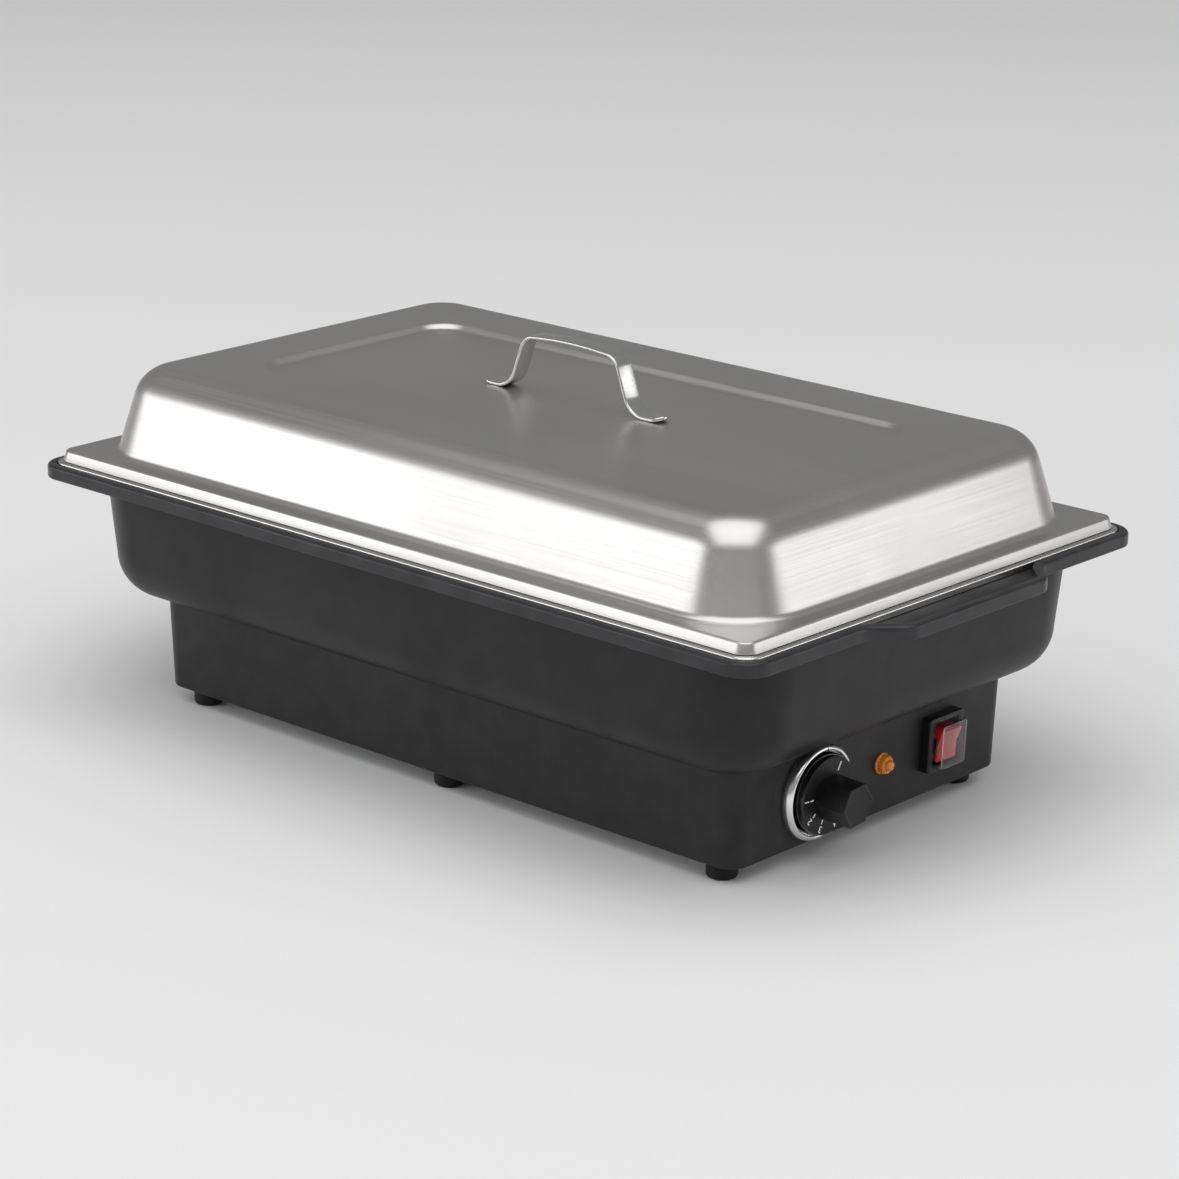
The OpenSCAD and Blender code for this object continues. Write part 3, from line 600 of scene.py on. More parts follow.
class Effects:
    """Effects that more than one finish uses, each built once."""

    def __init__(self) -> None:
        """Builds every effect."""
        self.grain = self.make_grain()
        self.smudges = self.make_smudges()
        self.brushing = self.make_brushing()
        self.scratches = self.make_scratches()

    @staticmethod
    def make_grain() -> bpy.types.NodeTree:
        """The fine texture of a moulding: a height and a mask."""
        tree, g, start, end = effect("Moulded grain", {"Scale": 2500.0}, ["Height", "Mask"])
        place = g.place()
        fine = g.node("TexNoise", {"Vector": place, "Scale": start.outputs["Scale"], "Detail": 3.0})
        wide = g.node("TexNoise", {"Vector": place, "Scale": 60.0, "Detail": 2.0})
        tree.links.new(fine.outputs[0], end.inputs["Height"])
        tree.links.new(g.ramp(wide.outputs[0], 0.35, 0.7, (0.0, 1.0)), end.inputs["Mask"])
        return tree

    @staticmethod
    def make_smudges() -> bpy.types.NodeTree:
        """Faint uneven sheen from handling and wiping."""
        tree, g, start, end = effect("Smudges", {"Scale": 9.0}, ["Mask"])
        place = g.place()
        big = g.node(
            "TexNoise",
            {"Vector": place, "Scale": start.outputs["Scale"], "Detail": 5.0, "Distortion": 0.8},
        )
        tree.links.new(g.ramp(big.outputs[0], 0.4, 0.68, (0.0, 1.0)), end.inputs["Mask"])
        return tree

    @staticmethod
    def make_brushing() -> bpy.types.NodeTree:
        """Fine lines of brushed steel, level on end walls and lengthwise elsewhere."""
        usual = {"Across": 1400.0, "Along": 7.0}
        tree, g, start, end = effect("Brushing", usual, ["Height", "Mask"])
        coordinates = g.node("TexCoord")
        split = g.node("SeparateXYZ", {0: coordinates.outputs["Object"]})
        facing = g.node("SeparateXYZ", {0: coordinates.outputs["Normal"]})
        ends = g.ramp(g.math("ABSOLUTE", facing.outputs[0]), 0.45, 0.75, (0.0, 1.0))
        across = start.outputs["Across"]
        along = start.outputs["Along"]
        x, y, z = split.outputs
        long_way = g.node("CombineXYZ", {
            0: g.math("MULTIPLY", x, along), 1: g.math("MULTIPLY", y, across),
            2: g.math("MULTIPLY", z, across),
        })
        end_way = g.node("CombineXYZ", {
            0: 0.0, 1: g.math("MULTIPLY", y, along), 2: g.math("MULTIPLY", z, across),
        })
        fine = [
            g.node("TexNoise", {"Vector": way.outputs[0], "Scale": 1.0, "Detail": 2.0}).outputs[0]
            for way in (long_way, end_way)
        ]
        lines = g.node("Mix", {0: ends, 2: fine[0], 3: fine[1]}).outputs[0]
        tree.links.new(lines, end.inputs["Height"])
        tree.links.new(g.ramp(lines, 0.3, 0.7, (0.0, 1.0)), end.inputs["Mask"])
        return tree

    @staticmethod
    def make_scratches() -> bpy.types.NodeTree:
        """Sparse hairline scratches of use: a mask."""
        tree, g, start, end = effect("Scratches", {"Scale": 26.0}, ["Mask"])
        place = g.place()
        turned_place = g.node("Mapping", {0: place, 2: (0.3, 0.5, 0.8), 3: (1.0, 14.0, 5.0)})
        lines = g.node(
            "TexNoise",
            {"Vector": turned_place.outputs[0], "Scale": start.outputs["Scale"], "Detail": 6.0,
             "Distortion": 0.4},
        )
        tree.links.new(g.ramp(lines.outputs[0], 0.66, 0.72, (0.0, 1.0)), end.inputs["Mask"])
        return tree


@dataclass(frozen=True)
class Finish:
    """What every finish has: a name and a colour."""

    name: str
    colour: Colour

    def start(self, **constants: float) -> tuple[bpy.types.Material, Graph, bpy.types.Node]:
        """Makes the material with its constants on the shader's own sockets.

        Args:
            constants: Socket values, with underscores for spaces.

        Returns:
            The material, a graph on it and its shader.
        """
        material = bpy.data.materials.new(self.name)
        material.use_nodes = True
        graph = Graph(material.node_tree)
        shader = material.node_tree.nodes["Principled BSDF"]
        for key, value in constants.items():
            shader.inputs[key.replace("_", " ")].default_value = value
        return material, graph, shader

    def tint(self, gain: float) -> tuple[float, float, float, float]:
        """The colour, lighter or darker."""
        return (*[min(1.0, c * gain) for c in self.colour], 1.0)


def connect(graph: Graph, shader: bpy.types.Node, **sockets: object) -> None:
    """Links outputs to a shader's sockets, with underscores for spaces."""
    for key, value in sockets.items():
        graph.tree.links.new(value, shader.inputs[key.replace("_", " ")])


def use(graph: Graph, group: bpy.types.NodeTree, **values: float) -> bpy.types.Node:
    """Places an effect in a material with its own values."""
    made = graph.node("Group", node_tree=group)
    for key, value in values.items():
        made.inputs[key].default_value = value
    return made


@dataclass(frozen=True)
class Moulded(Finish):
    """A moulded plastic or rubber, with a fine grain and faint smudges."""

    rough: tuple[float, float] = (0.36, 0.52)
    grain: float = 2500.0
    bump: float = 0.12
    coat: float = 0.0
    spread: float = 0.25

    def make(self, fx: Effects) -> bpy.types.Material:
        """Builds the material."""
        material, g, shader = self.start(
            Coat_Weight=self.coat, Coat_Roughness=0.12, Specular_IOR_Level=0.36
        )
        grain = use(g, fx.grain, Scale=self.grain)
        smudges = use(g, fx.smudges, Scale=11.0).outputs["Mask"]
        dark, light = self.tint(1 - self.spread), self.tint(1 + self.spread)
        colour = g.blend(grain.outputs["Mask"], dark, light)
        worn = g.math("MULTIPLY", use(g, fx.scratches, Scale=20.0).outputs["Mask"], 0.18)
        colour = g.blend(worn, colour, self.tint(1.6))
        bump = g.node("Bump", {
            "Strength": self.bump, "Distance": 0.0002, "Height": grain.outputs["Height"]})
        connect(
            g, shader, Base_Color=colour, Normal=bump.outputs[0],
            Roughness=g.ramp(smudges, 0.0, 1.0, self.rough),
        )
        return material


@dataclass(frozen=True)
class Brushed(Finish):
    """Brushed or drawn metal with fine lines, scratches and smudges."""

    rough: tuple[float, float] = (0.22, 0.36)
    across: float = 1400.0
    along: float = 7.0
    bump: float = 0.03

    def make(self, fx: Effects) -> bpy.types.Material:
        """Builds the material."""
        material, g, shader = self.start(Metallic=1.0)
        lines = use(g, fx.brushing, Across=self.across, Along=self.along)
        smudges = use(g, fx.smudges, Scale=6.0).outputs["Mask"]
        scratches = use(g, fx.scratches, Scale=16.0).outputs["Mask"]
        colour = g.blend(lines.outputs["Mask"], self.tint(0.975), self.tint(1.02))
        colour = g.blend(g.math("MULTIPLY", scratches, 0.06), colour, self.tint(1.15))
        base = g.ramp(lines.outputs["Mask"], 0.0, 1.0, self.rough)
        rough = g.math("ADD", base, g.math("MULTIPLY", smudges, 0.05))
        bump = g.node("Bump", {
            "Strength": self.bump, "Distance": 0.0001, "Height": lines.outputs["Height"]})
        connect(g, shader, Base_Color=colour, Roughness=rough, Normal=bump.outputs[0])
        return material


@dataclass(frozen=True)
class Polished(Finish):
    """Polished metal, enamel or glaze: smooth, with faint smudges and hairlines."""

    metal: float = 1.0
    rough: tuple[float, float] = (0.05, 0.14)

    def make(self, fx: Effects) -> bpy.types.Material:
        """Builds the material."""
        material, g, shader = self.start(Metallic=self.metal)
        smudges = use(g, fx.smudges, Scale=40.0).outputs["Mask"]
        scratches = use(g, fx.scratches, Scale=60.0).outputs["Mask"]
        grain = use(g, fx.grain, Scale=900.0)
        colour = g.blend(g.math("MULTIPLY", scratches, 0.4), self.tint(1.0), self.tint(0.8))
        bump = g.node("Bump", {
            "Strength": 0.02, "Distance": 0.0001, "Height": grain.outputs["Height"]})
        connect(
            g, shader, Base_Color=colour, Normal=bump.outputs[0],
            Roughness=g.ramp(smudges, 0.0, 1.0, self.rough),
        )
        return material


@dataclass(frozen=True)
class Lens(Finish):
    """Translucent coloured plastic with depth in its colour and a slight glow."""

    glow: float = 0.12
    through: float = 0.25
    rough: tuple[float, float] = (0.08, 0.2)

    def make(self, fx: Effects) -> bpy.types.Material:
        """Builds the material."""
        material, g, shader = self.start(
            Coat_Weight=0.8, Coat_Roughness=0.05, Emission_Strength=self.glow,
            Transmission_Weight=self.through,
        )
        rim = g.node("LayerWeight", {"Blend": 0.4}).outputs["Facing"]
        smudges = use(g, fx.smudges, Scale=160.0).outputs["Mask"]
        colour = g.blend(rim, self.tint(1.0), self.tint(0.45))
        colour = g.blend(g.math("MULTIPLY", smudges, 0.35), colour, self.tint(1.5))
        connect(
            g, shader, Base_Color=colour, Emission_Color=colour,
            Roughness=g.ramp(smudges, 0.0, 1.0, self.rough),
        )
        return material


@dataclass(frozen=True)
class Clear(Finish):
    """Clear flexible plastic, hazy where it is handled."""

    def make(self, fx: Effects) -> bpy.types.Material:
        """Builds the material."""
        material, g, shader = self.start(IOR=1.38, Transmission_Weight=1.0)
        smudges = use(g, fx.smudges, Scale=90.0).outputs["Mask"]
        scratches = use(g, fx.scratches, Scale=90.0).outputs["Mask"]
        haze = g.math("ADD", smudges, scratches)
        colour = g.blend(g.math("MULTIPLY", smudges, 0.5), self.tint(1.0), self.tint(0.93))
        connect(g, shader, Base_Color=colour, Roughness=g.ramp(haze, 0.0, 2.0, (0.03, 0.22)))
        return material


TANK_PLASTIC = Moulded("tank_plastic", (0.009, 0.009, 0.0102))
RIM_PLASTIC = Moulded("rim_plastic", (0.03, 0.0298, 0.033), rough=(0.3, 0.42))
HOUSING_PLASTIC = Moulded("housing_plastic", (0.0155, 0.0152, 0.0164), rough=(0.4, 0.54))
LID_STEEL = Brushed("lid_steel", (0.6, 0.588, 0.58), rough=(0.29, 0.37), across=1900.0, bump=0.02)
PAN_STEEL = Brushed("pan_steel", (0.66, 0.655, 0.645), rough=(0.18, 0.3), along=12.0)
HANDLE_STEEL = Brushed("handle_steel", (0.68, 0.675, 0.67), rough=(0.16, 0.24), across=700.0)
FOOT_RUBBER = Moulded(
    "foot_rubber", (0.008, 0.008, 0.0085), rough=(0.5, 0.7), grain=1500.0, bump=0.2)
KNOB_PLASTIC = Moulded("knob_plastic", (0.0095, 0.0095, 0.0105), rough=(0.38, 0.5), grain=4000.0)
KNOB_GLOSS = Moulded("knob_gloss", (0.006, 0.006, 0.0065), rough=(0.12, 0.22), bump=0.02, coat=0.5)
DIAL_PAINT = Moulded("dial_paint", (0.95, 0.95, 0.94), rough=(0.4, 0.55), spread=0.05)
INDEX_PAINT = Moulded("index_paint", (0.02, 0.02, 0.02), rough=(0.4, 0.55))
BEZEL_CHROME = Polished("bezel_chrome", (0.88, 0.87, 0.86), rough=(0.18, 0.26))
SWITCH_PLASTIC = Moulded("switch_plastic", (0.012, 0.012, 0.013), rough=(0.22, 0.34), bump=0.03)
LENS_AMBER = Lens("lens_amber", (0.95, 0.3, 0.012), glow=0.06)
ROCKER_RED = Lens("rocker_red", (0.7, 0.008, 0.012), glow=0.05, through=0.0)
COVER_CLEAR = Clear("cover_clear", (0.96, 0.97, 0.98))

INNER_FINISHES = (
    Brushed("plated_steel", (0.6, 0.6, 0.62), rough=(0.2, 0.34), across=900.0),
    Brushed("plate_steel", (0.48, 0.49, 0.5), rough=(0.34, 0.5), across=500.0),
    Brushed("heater_steel", (0.56, 0.555, 0.54), rough=(0.24, 0.38)),
    Moulded("silicone", (0.42, 0.06, 0.035), rough=(0.42, 0.6)),
    Brushed("element_sheath", (0.2, 0.17, 0.14), rough=(0.4, 0.55), across=600.0),
    Polished("ceramic_white", (0.78, 0.75, 0.68), metal=0.0, rough=(0.12, 0.3)),
    Brushed("shield_aluminium", (0.72, 0.73, 0.74), rough=(0.2, 0.32), across=800.0),
    Moulded("phenolic", (0.03, 0.02, 0.015), rough=(0.3, 0.45)),
    Polished("copper", (0.7, 0.34, 0.2), rough=(0.16, 0.34)),
    Moulded("part_plastic", (0.025, 0.025, 0.027), rough=(0.34, 0.5)),
    Brushed("spring_steel", (0.6, 0.6, 0.61), rough=(0.16, 0.28), across=1200.0),
    Moulded("terminal_plastic", (0.72, 0.68, 0.58), rough=(0.35, 0.5)),
    Polished("brass", (0.72, 0.5, 0.2), rough=(0.14, 0.3)),
    Moulded("wire_brown", (0.12, 0.045, 0.02), rough=(0.32, 0.46)),
    Moulded("wire_blue", (0.02, 0.07, 0.3), rough=(0.32, 0.46)),
    Moulded("wire_earth", (0.22, 0.42, 0.03), rough=(0.32, 0.46)),
)


# ---------- tank and base ----------


@dataclass
class WaterTank:
    """The moulded tank: a rim with a lip and two carry tabs on a round-bottomed trough."""

    wall: float = 2.5
    tab_out: float = 17.0
    tab_tip: float = 58.0
    tab_rounding: float = 5.0
    band: float = 8.0
    lip: float = 5.6
    ledge_drop: float = 3.3
    rim_corner: float = 17.0
    rim_edge: float = 2.2
    lip_edge: float = 1.2
    ledge_edge: float = 1.6
    overhang: float = 17.5
    trough_corner: float = 42.0
    bottom_round: float = 27.0
    draft: float = 4.0
    heater_hole: float = 75.0
    boss_sink: float = 2.3

    def build(self, fx: Effects) -> None:
        """Builds the tank and settles it."""
        box = Box.of("water_tank")
        top = box.high.z
        base = box.low.z + self.boss_sink
        ledge = top - self.ledge_drop
        under = ledge - self.wall
        start = top - self.band + 0.6
        half = (box.half.x - self.tab_out, box.half.y)
        tab = Tab(self.tab_out, self.tab_tip, self.tab_tip + self.tab_out, self.tab_rounding)
        flat = Tab(0.0, self.tab_tip, self.tab_tip + self.tab_out, self.tab_rounding)
        trough = (half[0] - self.overhang, half[1] - self.overhang)

        rim = sheet("water_tank_shell", half, self.rim_corner, [
            (0, start), (0, start + 0.5), (0, top - 2.6),
            *arc((self.rim_edge, top - self.rim_edge), self.rim_edge, 180, 90, 6),
            (3.0, top), (4.2, top), *arc((4.4, top - self.lip_edge), self.lip_edge, 90, 0, 4),
            (self.lip, ledge + 0.5), (self.lip + 0.5, ledge), (self.lip + 1.2, ledge),
        ], tab=tab, open_end=True)
        lower = sheet("tank_under", half, self.rim_corner, [
            (0, start), (0.2, start - 0.4), (0.6, start - 0.6), (2.0, start - 0.6),
            (2.4, start - 0.3), (2.5, start), (2.5, under - 0.3), (2.8, under), (3.4, under),
        ], Facing.DOWN, tab, open_end=True)
        inner = sheet("tank_inner", (trough[0] - 0.3, trough[1] - 0.3), self.trough_corner, [
            (0, ledge), (0.8, ledge),
            *arc((0.8, ledge - self.ledge_edge), self.ledge_edge, 90, 0, 4),
            *self.trough_profile(base + self.wall, self.wall, 2.4, self.bottom_round - self.wall),
        ], tab=flat)
        outer = sheet("tank_outer", (trough[0] + 1.6, trough[1] + 1.6), self.trough_corner + 1.6, [
            (0, under), (0.4, under), (1.0, under - 0.5), (1.6, under - 1.4),
            *self.trough_profile(base, 1.6, 1.6, self.bottom_round),
        ], Facing.DOWN, flat)
        rim.join([inner, outer, lower])
        rim.bridge(ledge)
        rim.bridge(under)
        hole = turned("hole", [(self.heater_hole, base - 5), (self.heater_hole, base + 8)], 96)
        rim.cut(hole)
        rim.obj.data.materials.append(TANK_PLASTIC.make(fx))
        inside = Vector((half[0] - self.lip - 0.6, half[1] - self.lip - 0.6))
        rim.paint(RIM_PLASTIC.make(fx), lambda v: v.z > start - 0.7 and abs(v.z - ledge) > 0.4
                  and (abs(v.x) > inside.x or abs(v.y) > inside.y))
        rim.settle("root", "tank_plastic", "water_tank")

    def trough_profile(self, floor: float, start: float, inset: float, radius: float) -> list:
        """The trough's wall and bottom curve.

        Args:
            floor: The height of the floor.
            start: The inset where the wall starts.
            inset: The inset of the wall at its top.
            radius: The radius of the bottom curve.

        Returns:
            Points of (inset, height) down to the floor.
        """
        foot = start + self.draft
        curve = arc((foot + radius, floor + radius), radius, 180, 270, 12)
        return [(inset, floor + radius + 40)] + curve + [(foot + radius + 3, floor)]


@dataclass
class BaseHousing:
    """The drafted housing under the tank, with its holes for the controls."""

    draft: float = 2.3
    corner: float = 12.0
    edge: float = 1.5
    wall: float = 2.5
    top_flange: float = 28.0
    knob_hole: float = 5.2
    lamp_hole: float = 5.1
    gland_hole: float = 8.1
    switch_hole: tuple[float, float, float] = (22.0, 27.0, 12.0)
    cut: tuple[float, float] = (-8.0, 4.0)

    def build(self, fx: Effects, panel: Panel) -> None:
        """Builds the housing and settles it.

        Args:
            fx: The shared effects.
            panel: Where the controls sit.
        """
        box = Box.of("base_housing")
        low, top = box.low.z, box.high.z
        start = top - self.edge
        half = (box.half.x, box.half.y)
        shell = sheet("base_housing_shell", half, self.corner + self.draft, [
            (0, start), *round_over(self.edge, top, 6), (3.0, top), (self.top_flange, top),
        ], open_end=True)
        foot = self.draft
        lower = sheet("base_lower", half, self.corner + self.draft, [
            (0, start), (0.03, start - 0.8), (foot - 0.05, low + 1.4), (foot + 0.15, low + 0.7),
            (foot + 0.5, low + 0.2), (foot + 1.0, low), (foot + self.wall, low),
            (foot + self.wall, top - self.wall), (self.top_flange, top - self.wall),
        ], Facing.DOWN, open_end=True)
        shell.join([lower])
        shell.bridge(top - self.wall, top)
        shell.outward()
        for radius, place in (
            (self.knob_hole, panel.at(panel.knob_y)), (self.lamp_hole, panel.at(panel.lamp_y)),
            (self.gland_hole, panel.rear()),
        ):
            tool = turned("hole", [(radius, self.cut[0]), (radius, self.cut[1])], 48)
            tool.place(place)
            shell.cut(tool)
        opening = block("hole", Vector(self.switch_hole), Vector((0, 0, -2)))
        opening.place(panel.at(panel.switch_y, panel.switch_rise))
        shell.cut(opening)
        shell.settle("root", "housing_plastic", "base_housing", finish=HOUSING_PLASTIC.make(fx))


@dataclass
class Feet:
    """Six rubber feet with round lower edges and a sunk screw."""

    count: int = 6
    rounding: float = 2.5
    recess: float = 4.5
    sink: float = 3.0

    def build(self, fx: Effects) -> None:
        """Builds the feet and settles them."""
        rubber = FOOT_RUBBER.make(fx)
        for i in range(1, self.count + 1):
            box = Box.of(f"foot_{i}")
            radius, top = box.half.x, box.high.z
            curve = arc((radius - self.rounding, self.rounding), self.rounding, -90, 0, 8)
            foot = turned(f"rubber_foot_{i}", [
                (self.recess, self.sink), (self.recess, 0.4), (self.recess + 0.4, 0.0), *curve,
                (radius, top),
            ], 56)
            spot = Matrix.Translation(Vector((box.centre.x, box.centre.y, 0)) * MM)
            foot.settle("root", "foot_rubber", f"foot_{i}", finish=rubber, at=spot, angle=40)


# ---------- pan and lid ----------


@dataclass
class FoodPan:
    """The pressed gastronorm pan."""

    gauge: float = 0.8
    rim_corner: float = 11.0
    edge: float = 1.4
    mouth: float = 15.6
    mouth_corner: float = 51.6
    neck: float = 3.0
    slope: float = 5.0
    floor_round: float = 15.0

    def build(self, fx: Effects) -> None:
        """Builds the pan and settles it."""
        box = Box.of("food_pan")
        top, start = box.high.z, Box.of("water_tank").high.z - 3.0
        floor = box.low.z + self.gauge
        half = (box.half.x, box.half.y)
        rim = sheet("food_pan_sheet", half, self.rim_corner, [
            (0, start), (0, top - self.edge), *round_over(self.edge, top, 5),
            (2.2, top), (3.4, top),
        ], open_end=True)
        run = (top - self.neck - floor - self.floor_round) * math.tan(math.radians(self.slope))
        foot = self.neck + run
        mouth = (half[0] - self.mouth, half[1] - self.mouth)
        bowl = sheet("pan_bowl", mouth, self.mouth_corner - self.mouth, [
            (0, top), (0.4, top), *arc((0.4, top - self.neck), self.neck - 0.4, 90, 5, 6)[1:],
            *arc((foot + self.floor_round, floor + self.floor_round), self.floor_round,
                 180 + self.slope, 270, 9),
            (foot + self.floor_round + 2, floor),
        ])
        rim.join([bowl])
        rim.bridge(top)
        rim.thicken(self.gauge)
        rim.settle("pan", "pan_steel", "food_pan", finish=PAN_STEEL.make(fx))


@dataclass
class Lid:
    """The pressed lid: a skirt, a flange, a drafted dome and a sunken panel."""

    gauge: float = 0.8
    skirt: float = 6.0
    skirt_corner: float = 9.0
    lean: float = 1.5
    flange: float = 12.4
    dome_corner: float = 43.0
    dome_foot: float = 5.0
    draft: float = 17.3
    dome_round: float = 22.6
    panel: tuple[float, float] = (184.0, 81.0)
    panel_corner: float = 22.0
    panel_step: float = 5.5
    panel_sink: float = 3.2

    def build(self, fx: Effects) -> None:
        """Builds the lid and settles it."""
        box = Box.of("lid_shell")
        low, top = box.low.z, box.high.z
        deck = low + self.skirt
        half = (box.half.x, box.half.y)
        lean = self.lean
        shell = sheet("lid_sheet", half, self.skirt_corner, [
            (0, low), (0.05, low + 0.3), (lean, deck - 1.0), (lean + 0.25, deck - 0.45),
            (lean + 0.7, deck - 0.1), (lean + 1.3, deck), (4.0, deck),
        ], open_end=True)
        crown = self.dome_profile(deck, top)
        dome = sheet("lid_dome", *self.dome_start(half), crown, open_end=True)
        panel = sheet("lid_panel", self.panel, self.panel_corner, self.step_profile(top))
        shell.join([dome, panel])
        shell.bridge(deck)
        shell.bridge(top)
        shell.thicken(self.gauge)
        shell.settle("lid", "lid_steel", "lid_shell", finish=LID_STEEL.make(fx))

    def foot_run(self) -> float:
        """How far the foot's curve reaches out of the dome."""
        slope = math.radians(self.draft)
        return self.dome_foot * (1 - math.sin(slope)) / math.cos(slope)

    def dome_start(self, half: tuple[float, float]) -> tuple:
        """The dome's outline on the flange, as half sizes and corner radius."""
        out = self.foot_run() + 0.6
        size = (half[0] - self.flange + out, half[1] - self.flange + out)
        return size, self.dome_corner + out

    def dome_profile(self, deck: float, top: float) -> list:
        """The dome from the flange up to its flat top.

        Args:
            deck: The height of the flange.
            top: The height of the top.

        Returns:
            Points of (inset, height).
        """
        slope = math.radians(self.draft)
        foot = arc((0.6, deck + self.dome_foot), self.dome_foot, -90, -self.draft, 6)
        reach = top - self.dome_round + self.dome_round * math.sin(slope)
        rise = reach - foot[-1][1]
        shoulder = foot[-1][0] + rise * math.tan(slope)
        centre = shoulder + self.dome_round * math.cos(slope)
        crown = arc((centre, top - self.dome_round), self.dome_round, 180 - self.draft, 90, 14)
        return [(0, deck)] + foot + crown + [(centre + 1.0, top), (centre + 3.0, top)]

    def step_profile(self, top: float) -> list:
        """The smooth step down into the sunken panel."""
        steps = 10
        points = [(0, top), (0.3, top)]
        for i in range(1, steps + 1):
            fall = self.panel_sink * (1 - math.cos(math.pi * i / steps)) / 2
            points.append((0.3 + self.panel_step * i / steps, top - fall))
        return points + [(self.panel_step + 1.2, top - self.panel_sink)]


@dataclass
class LidHandle:
    """The bent steel strap on the lid."""

    width: float = 12.0
    gauge: float = 2.0
    crown_radius: float = 270.0
    crown_turn: float = 6.0
    bend_radius: float = 10.0
    leg_slope: float = 70.0
    leg: float = 16.9
    toe_radius: float = 14.0
    flat: float = 4.0
    tip_radius: float = 16.0
    tip_tilt: float = 16.0
    tip: float = 4.5
    taper: float = 7.0
    edge: float = 0.75

    def path(self) -> list[Vector]:
        """Half of the strap's middle line, from the top of the crown to the tip."""
        points = [Vector((0, 0, 0))]
        heading = 0.0
        stretches = (
            (self.crown_radius, -self.crown_turn, 6),
            (self.bend_radius, self.crown_turn - self.leg_slope, 10),
            (0.0, self.leg, 3), (self.toe_radius, self.leg_slope, 10), (0.0, self.flat, 2),
            (self.tip_radius, self.tip_tilt, 4), (0.0, self.tip, 6),
        )
        for radius, amount, steps in stretches:
            for _ in range(steps):
                turn = math.radians(amount / steps) if radius else 0.0
                length = 2 * radius * math.sin(abs(turn) / 2) if radius else amount / steps
                heading += turn / 2
                way = Vector((math.cos(heading), 0, math.sin(heading)))
                points.append(points[-1] + length * way)
                heading += turn / 2
        return points

    def build(self, fx: Effects) -> None:
        """Builds the handle and settles it."""
        box = Box.of("lid_handle")
        path = self.path()
        deselect_all()
        bpy.ops.mesh.primitive_plane_add(size=MM, location=(0, 0, 0))
        strap = Workpiece("lid_handle_strap")
        first = path[1]
        size = Matrix.Diagonal((first.x, self.width, 1, 1))
        strap.place(Matrix.Translation(first * MM / 2) @ size)
        strap.open()
        strap.pick(Element.EDGE, lambda v: v.x > first.x - NEAR)
        strap.move(Vector((0, 0, first.z / 2)))
        strap.pick(Element.EDGE, lambda v: v.x < NEAR)
        strap.move(Vector((0, 0, -first.z / 2)))
        strap.pick(Element.EDGE, lambda v: v.x > first.x - NEAR)
        for here, there in zip(path[1:], path[2:]):
            strap.extrude(there - here)
        end = path[-1].x
        for point in path:
            past = point.x - (end - self.taper)
            if past > 0:
                strap.pick(Element.VERTEX, lambda v, p=point: (
                    (v - p).length < self.width and abs(v.x - p.x) < 2 * NEAR))
                share = math.sqrt(max(0.06, 1 - (past / self.taper) ** 2))
                strap.scale(Vector((1, share, 1)), point)
        strap.close()
        strap.modify(
            "MIRROR", use_axis=(True, False, False), use_clip=True, merge_threshold=NEAR * MM)
        strap.outward()
        strap.modify("SOLIDIFY", thickness=self.gauge * MM, offset=0.0, use_even_offset=True)
        strap.soften(self.edge, 4, 50)
        spot = Matrix.Translation((0, 0, (box.high.z - self.gauge / 2) * MM))
        steel = HANDLE_STEEL.make(fx)
        strap.settle("lid", "handle_steel", "lid_handle", finish=steel, at=spot, angle=40)


# ---------- control panel ----------


@dataclass
class Panel:
    """Where the controls sit: frames whose +Z points out of the panel and +Y up it."""

    knob_y: float = -52.4
    lamp_y: float = 5.6
    switch_y: float = 55.2
    height: float = 40.3
    switch_rise: float = 1.2
    draft: float = 2.3
    bottom_half: float = 220.0

    def at(self, y: float, rise: float = 0.0) -> Matrix:
        """The frame of a control.

        Args:
            y: Its sideways place.
            rise: How far it sits above the others.

        Returns:
            The frame, in metres.
        """
        box = Box.of("base_housing")
        tall = box.high.z - box.low.z
        tilt = math.atan(self.draft / tall)
        z = self.height + rise
        x = self.bottom_half + self.draft * (z - box.low.z) / tall
        right = Vector((0, 1, 0))
        up = Vector((math.sin(tilt), 0, math.cos(tilt)))
        out = right.cross(up)
        turn = Matrix((right, up, out)).transposed().to_4x4()
        return Matrix.Translation(Vector((x, y, z)) * MM) @ turn

    def rear(self) -> Matrix:
        """The frame of the cord gland on the rear wall."""
        return Matrix.Rotation(math.pi, 4, "Z") @ self.at(0.0)


